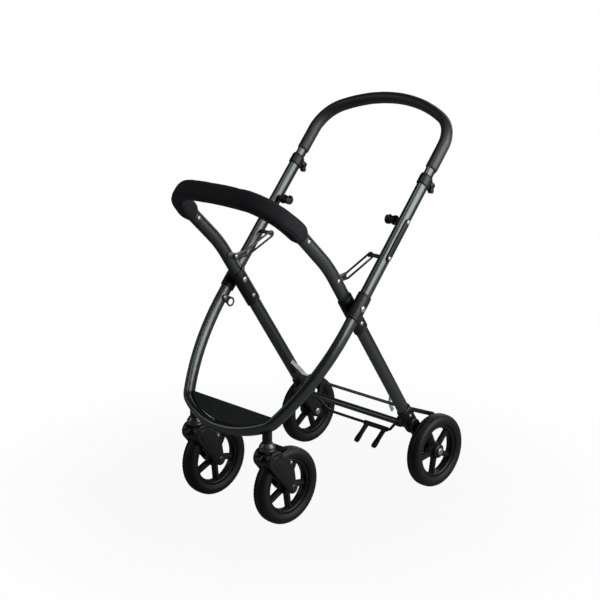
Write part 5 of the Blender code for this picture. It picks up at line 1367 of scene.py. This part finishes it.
def make_brake():
    """The cranked brake bar with its sleeve and two pedals."""
    middle = BRAKE_AXIS + Vector((0.0, sin(BRAKE_CRANK_LEAN), -cos(BRAKE_CRANK_LEAN))) * BRAKE_CRANK
    half = [middle + X_AXIS * BRAKE_CRANK_X, BRAKE_AXIS + X_AXIS * BRAKE_END_X,
            BRAKE_AXIS + X_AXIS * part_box("brake_bar")[1].x]
    path = soften([across(p, -p.x) for p in reversed(half)] + half, BRAKE_BEND_RADIUS, 8)
    frames = frames_along(path, BRAKE_STEP, UP)
    bar = skin("brake_bar_fine", rings_along(frames, (BRAKE_ROD_RADIUS, BRAKE_ROD_RADIUS), 24))
    first = middle + X_AXIS * (PEDAL_FIRST_X - PEDAL_HALF_WIDTH * 1.2)
    last = middle + X_AXIS * (PEDAL_FIRST_X + PEDAL_SPACING + PEDAL_HALF_WIDTH * 1.2)
    merge(bar, rod("tool", first, last, BRAKE_SLEEVE_RADIUS, 36))
    lean = Vector((0.0, -sin(PEDAL_LEAN), -cos(PEDAL_LEAN)))
    flat = Vector((0.0, cos(PEDAL_LEAN), -sin(PEDAL_LEAN)))

    def pedal_ring(centre, wide, thick):
        return ring(centre, X_AXIS, flat, (PEDAL_HALF_WIDTH * wide, PEDAL_RADIUS * thick), 28, 2.6)

    for number in range(2):
        root = middle + X_AXIS * (PEDAL_FIRST_X + PEDAL_SPACING * number)
        merge(bar, skin("tool", [pedal_ring(root + lean * (PEDAL_LENGTH * along), wide, thick)
                                 for along, wide, thick in PEDAL_SHAPE]))
        for k in range(4):
            place = root + lean * PEDAL_LENGTH * (0.66 + 0.075 * k)
            merge(bar, skin("tool", [pedal_ring(place + lean * along, girth, girth)
                                     for along, girth in PEDAL_RIB]))
    dress(bar, "plastic", "brake_bar")


def make_footrest():
    """The grained footrest panel inside the bow, with rounded edges and two sewn lines along its free edge.
    """
    plan = front_path(TUBE[1] + FOOTREST_GAP, 0.0)
    points = [(x, down) for x, down in plan if down > FOOTREST_EDGE + 0.0005]
    points = [(points[0][0], FOOTREST_EDGE)] + points + [(points[-1][0], FOOTREST_EDGE)]
    low = [front_point(x, -down, -FOOTREST_THICKNESS * 0.5) for x, down in points]
    panel = bevelled(prism("footrest_fine", low, FRONT_BACK * FOOTREST_THICKNESS), 0.0016, 4)
    dress(panel, "panel", "footrest")
    reach = abs(points[0][0]) - 0.0040
    count = int(2.0 * reach / STITCH_SPACING)
    for name, inset in (("hem", 0.0042), ("hem_line", 0.0078)):
        vertices, faces = [], []
        for number in range(count):
            x = -reach + 2.0 * reach * (number + 0.5) / count
            for face in (-1.0, 1.0):
                centre = front_point(x, -(FOOTREST_EDGE + inset), face * (FOOTREST_THICKNESS * 0.5 + 0.00005))
                add_stitch(vertices, faces, centre, X_AXIS, FRONT_UP, FRONT_BACK, HEM_STITCH)
        item = new_object("footrest_" + name, vertices, faces)
        dress(item, "panel", look="collar", body="front_frame")


def make_strap(word, side):
    """The grey basket strap that hangs inside a rear leg, its lower end standing off."""
    rings, places = [], []
    for k in range(STRAP_STEPS + 1):
        part = k / STRAP_STEPS
        down = (STRAP_BOTTOM - STRAP_TOP) * part
        slack = max(part - STRAP_HELD, 0.0) / (1.0 - STRAP_HELD)
        inward = STRAP_REACH * (1.0 - (1.0 - slack) ** 2)
        middle = REAR_TUBE_X - TUBE[1] - GAP - STRAP_THICKNESS * 0.5 - inward
        centre = rear_point(side * middle, -(STRAP_TOP + down), STRAP_RIPPLE * sin(2.0 * pi * part))
        rings.append(ring(centre, REAR_BACK, X_AXIS, (STRAP_WIDTH * 0.5, STRAP_THICKNESS * 0.5), 24, 5.0))
        places.append(down)
    dress(skin("basket_strap_fine_" + word, rings, places=places), "strap", "basket_strap_" + word)


def make_latch():
    """The storage hook on the left front tube, and its stud on the rear leg."""
    low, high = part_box("latch_hook")
    tip = LATCH_PIVOT + Vector((0.0, cos(LATCH_DROP), -sin(LATCH_DROP))) * LATCH_REACH
    outer = -(FRONT_TUBE_X - TUBE[1] - GAP - 0.0006)
    hook = capsule("latch_hook_fine", LATCH_PIVOT, LATCH_ROOT_RADIUS, tip, LATCH_EYE_RADIUS, outer, high.x)
    cut(hook, cutter(across(tip, outer - 0.01), across(tip, high.x + 0.01), LATCH_HOLE_RADIUS))
    bevelled(hook, 0.0006)
    merge(hook, rod("tool", across(LATCH_PIVOT, low.x), across(LATCH_PIVOT, high.x - 0.0005), 0.0025))
    dress(hook, "steel", "latch_hook", look="black_steel")
    rivet("latch_hook_rivet", LATCH_PIVOT, high.x - 0.0002, 1.0, [
        (0.0, RIVET_HEAD_RADIUS * 0.8), (0.0006, RIVET_HEAD_RADIUS * 0.75), (0.0011, RIVET_HEAD_RADIUS * 0.4),
        (0.0011, POINT)], "latch_hook", soft=0.0002)
    low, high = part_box("latch_stud")
    length = high.x - low.x
    stud = turned("latch_stud_fine", across((low + high) * 0.5, high.x), -X_AXIS, [
        (0.0, POINT), (0.0, 0.0025), (length - 0.0040, 0.0025), (length - 0.0040, 0.0036), (length, 0.0030),
        (length, POINT)])
    dress(stud, "steel", "latch_stud")


# Stage


def seen_directly(tree):
    """1 for rays from the camera and through glass, a share for mirrors, 0 for the light on things."""
    path = tree.nodes.new("ShaderNodeLightPath")
    mirrored_share = maths(tree, "MULTIPLY", path.outputs["Is Glossy Ray"], MIRROR_SHARE)
    total = maths(tree, "ADD", path.outputs["Is Camera Ray"], mirrored_share)
    total = maths(tree, "ADD", total, path.outputs["Is Transmission Ray"])
    return maths(tree, "MINIMUM", total, 1.0)


def make_stage(away, right):
    """A white floor that keeps its shadow, a white surround, and soft lamps."""
    mesh = bpy.data.meshes.new("floor")
    size = FLOOR_REACH
    corners = [(-size, -size, 0.0), (size, -size, 0.0), (size, size, 0.0), (-size, size, 0.0)]
    mesh.from_pydata(corners, [], [(0, 1, 2, 3)])
    floor = add_object("floor", mesh)
    floor.location.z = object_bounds()[0].z - FLOOR_DROP
    floor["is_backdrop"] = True
    paper = bpy.data.materials.new("white_paper")
    paper.use_nodes = True
    tree = paper.node_tree
    shader = tree.nodes["Principled BSDF"]
    shader.inputs["Base Color"].default_value = (FLOOR_GREY, FLOOR_GREY, FLOOR_GREY, 1.0)
    shader.inputs["Roughness"].default_value = 0.9
    shader.inputs["Specular IOR Level"].default_value = 0.0
    glow = add_node(tree, "ShaderNodeEmission", Color=(1.0, 1.0, 1.0, 1.0), Strength=1.0)
    place = add_node(tree, "ShaderNodeTexCoord").outputs["Object"]
    reach = add_node(tree, "ShaderNodeVectorMath", {"operation": "LENGTH"}, Vector=place)
    near = add_node(tree, "ShaderNodeMapRange", {"interpolation_type": "SMOOTHSTEP"},
                    Value=reach.outputs["Value"], **FLOOR_FADE)
    share = maths(tree, "MULTIPLY", seen_directly(tree), near.outputs[0])
    mixed = add_node(tree, "ShaderNodeMixShader", Fac=share)
    tree.links.new(shader.outputs[0], mixed.inputs[1])
    tree.links.new(glow.outputs[0], mixed.inputs[2])
    tree.links.new(mixed.outputs[0], tree.nodes["Material Output"].inputs["Surface"])
    mesh.materials.append(paper)

    world = bpy.data.worlds.new("surround")
    world.use_nodes = True
    bpy.context.scene.world = world
    tree = world.node_tree
    back = tree.nodes["Background"]
    back.inputs["Color"].default_value = (1.0, 1.0, 1.0, 1.0)
    level = add_node(tree, "ShaderNodeMapRange", Value=seen_directly(tree), To_Min=SURROUND_GLOW, To_Max=1.0)
    tree.links.new(level.outputs[0], back.inputs["Strength"])

    for name, (reach, size, power) in LAMPS.items():
        place = STAGE_MIDDLE + right * reach[0] + away * reach[1] + UP * reach[2]
        light = bpy.data.lights.new(name, "AREA")
        light.shape = "RECTANGLE"
        light.size, light.size_y = size
        light.energy = power
        lamp = add_object(name, light)
        lamp.location = place
        lamp.rotation_euler = (STAGE_MIDDLE - place).to_track_quat("-Z", "Y").to_euler()


def build():
    """Makes every piece, the stage and the camera."""
    away, right = make_camera()
    make_tubes()
    make_grip()
    make_pad()
    make_wheels()
    make_brake()
    make_footrest()
    make_latch()
    for word, side in SIDES.items():
        make_housings(word, side)
        make_ear(word, side)
        make_link(word)
        make_link_pin(word, side)
        make_plates(word, side)
        make_collar(word, side * FRONT_TUBE_X)
        make_lever(word, side * FRONT_TUBE_X)
        make_castor(word, side)
        make_bracket(word, side)
        make_strap(word, side)
        domed_pin("bumper_rivet_", word, 0.0030, RIVET_HEAD_RADIUS, RIVET_HEAD)
    make_stage(away, right)
    bpy.context.scene.view_settings.view_transform = "Standard"


build()
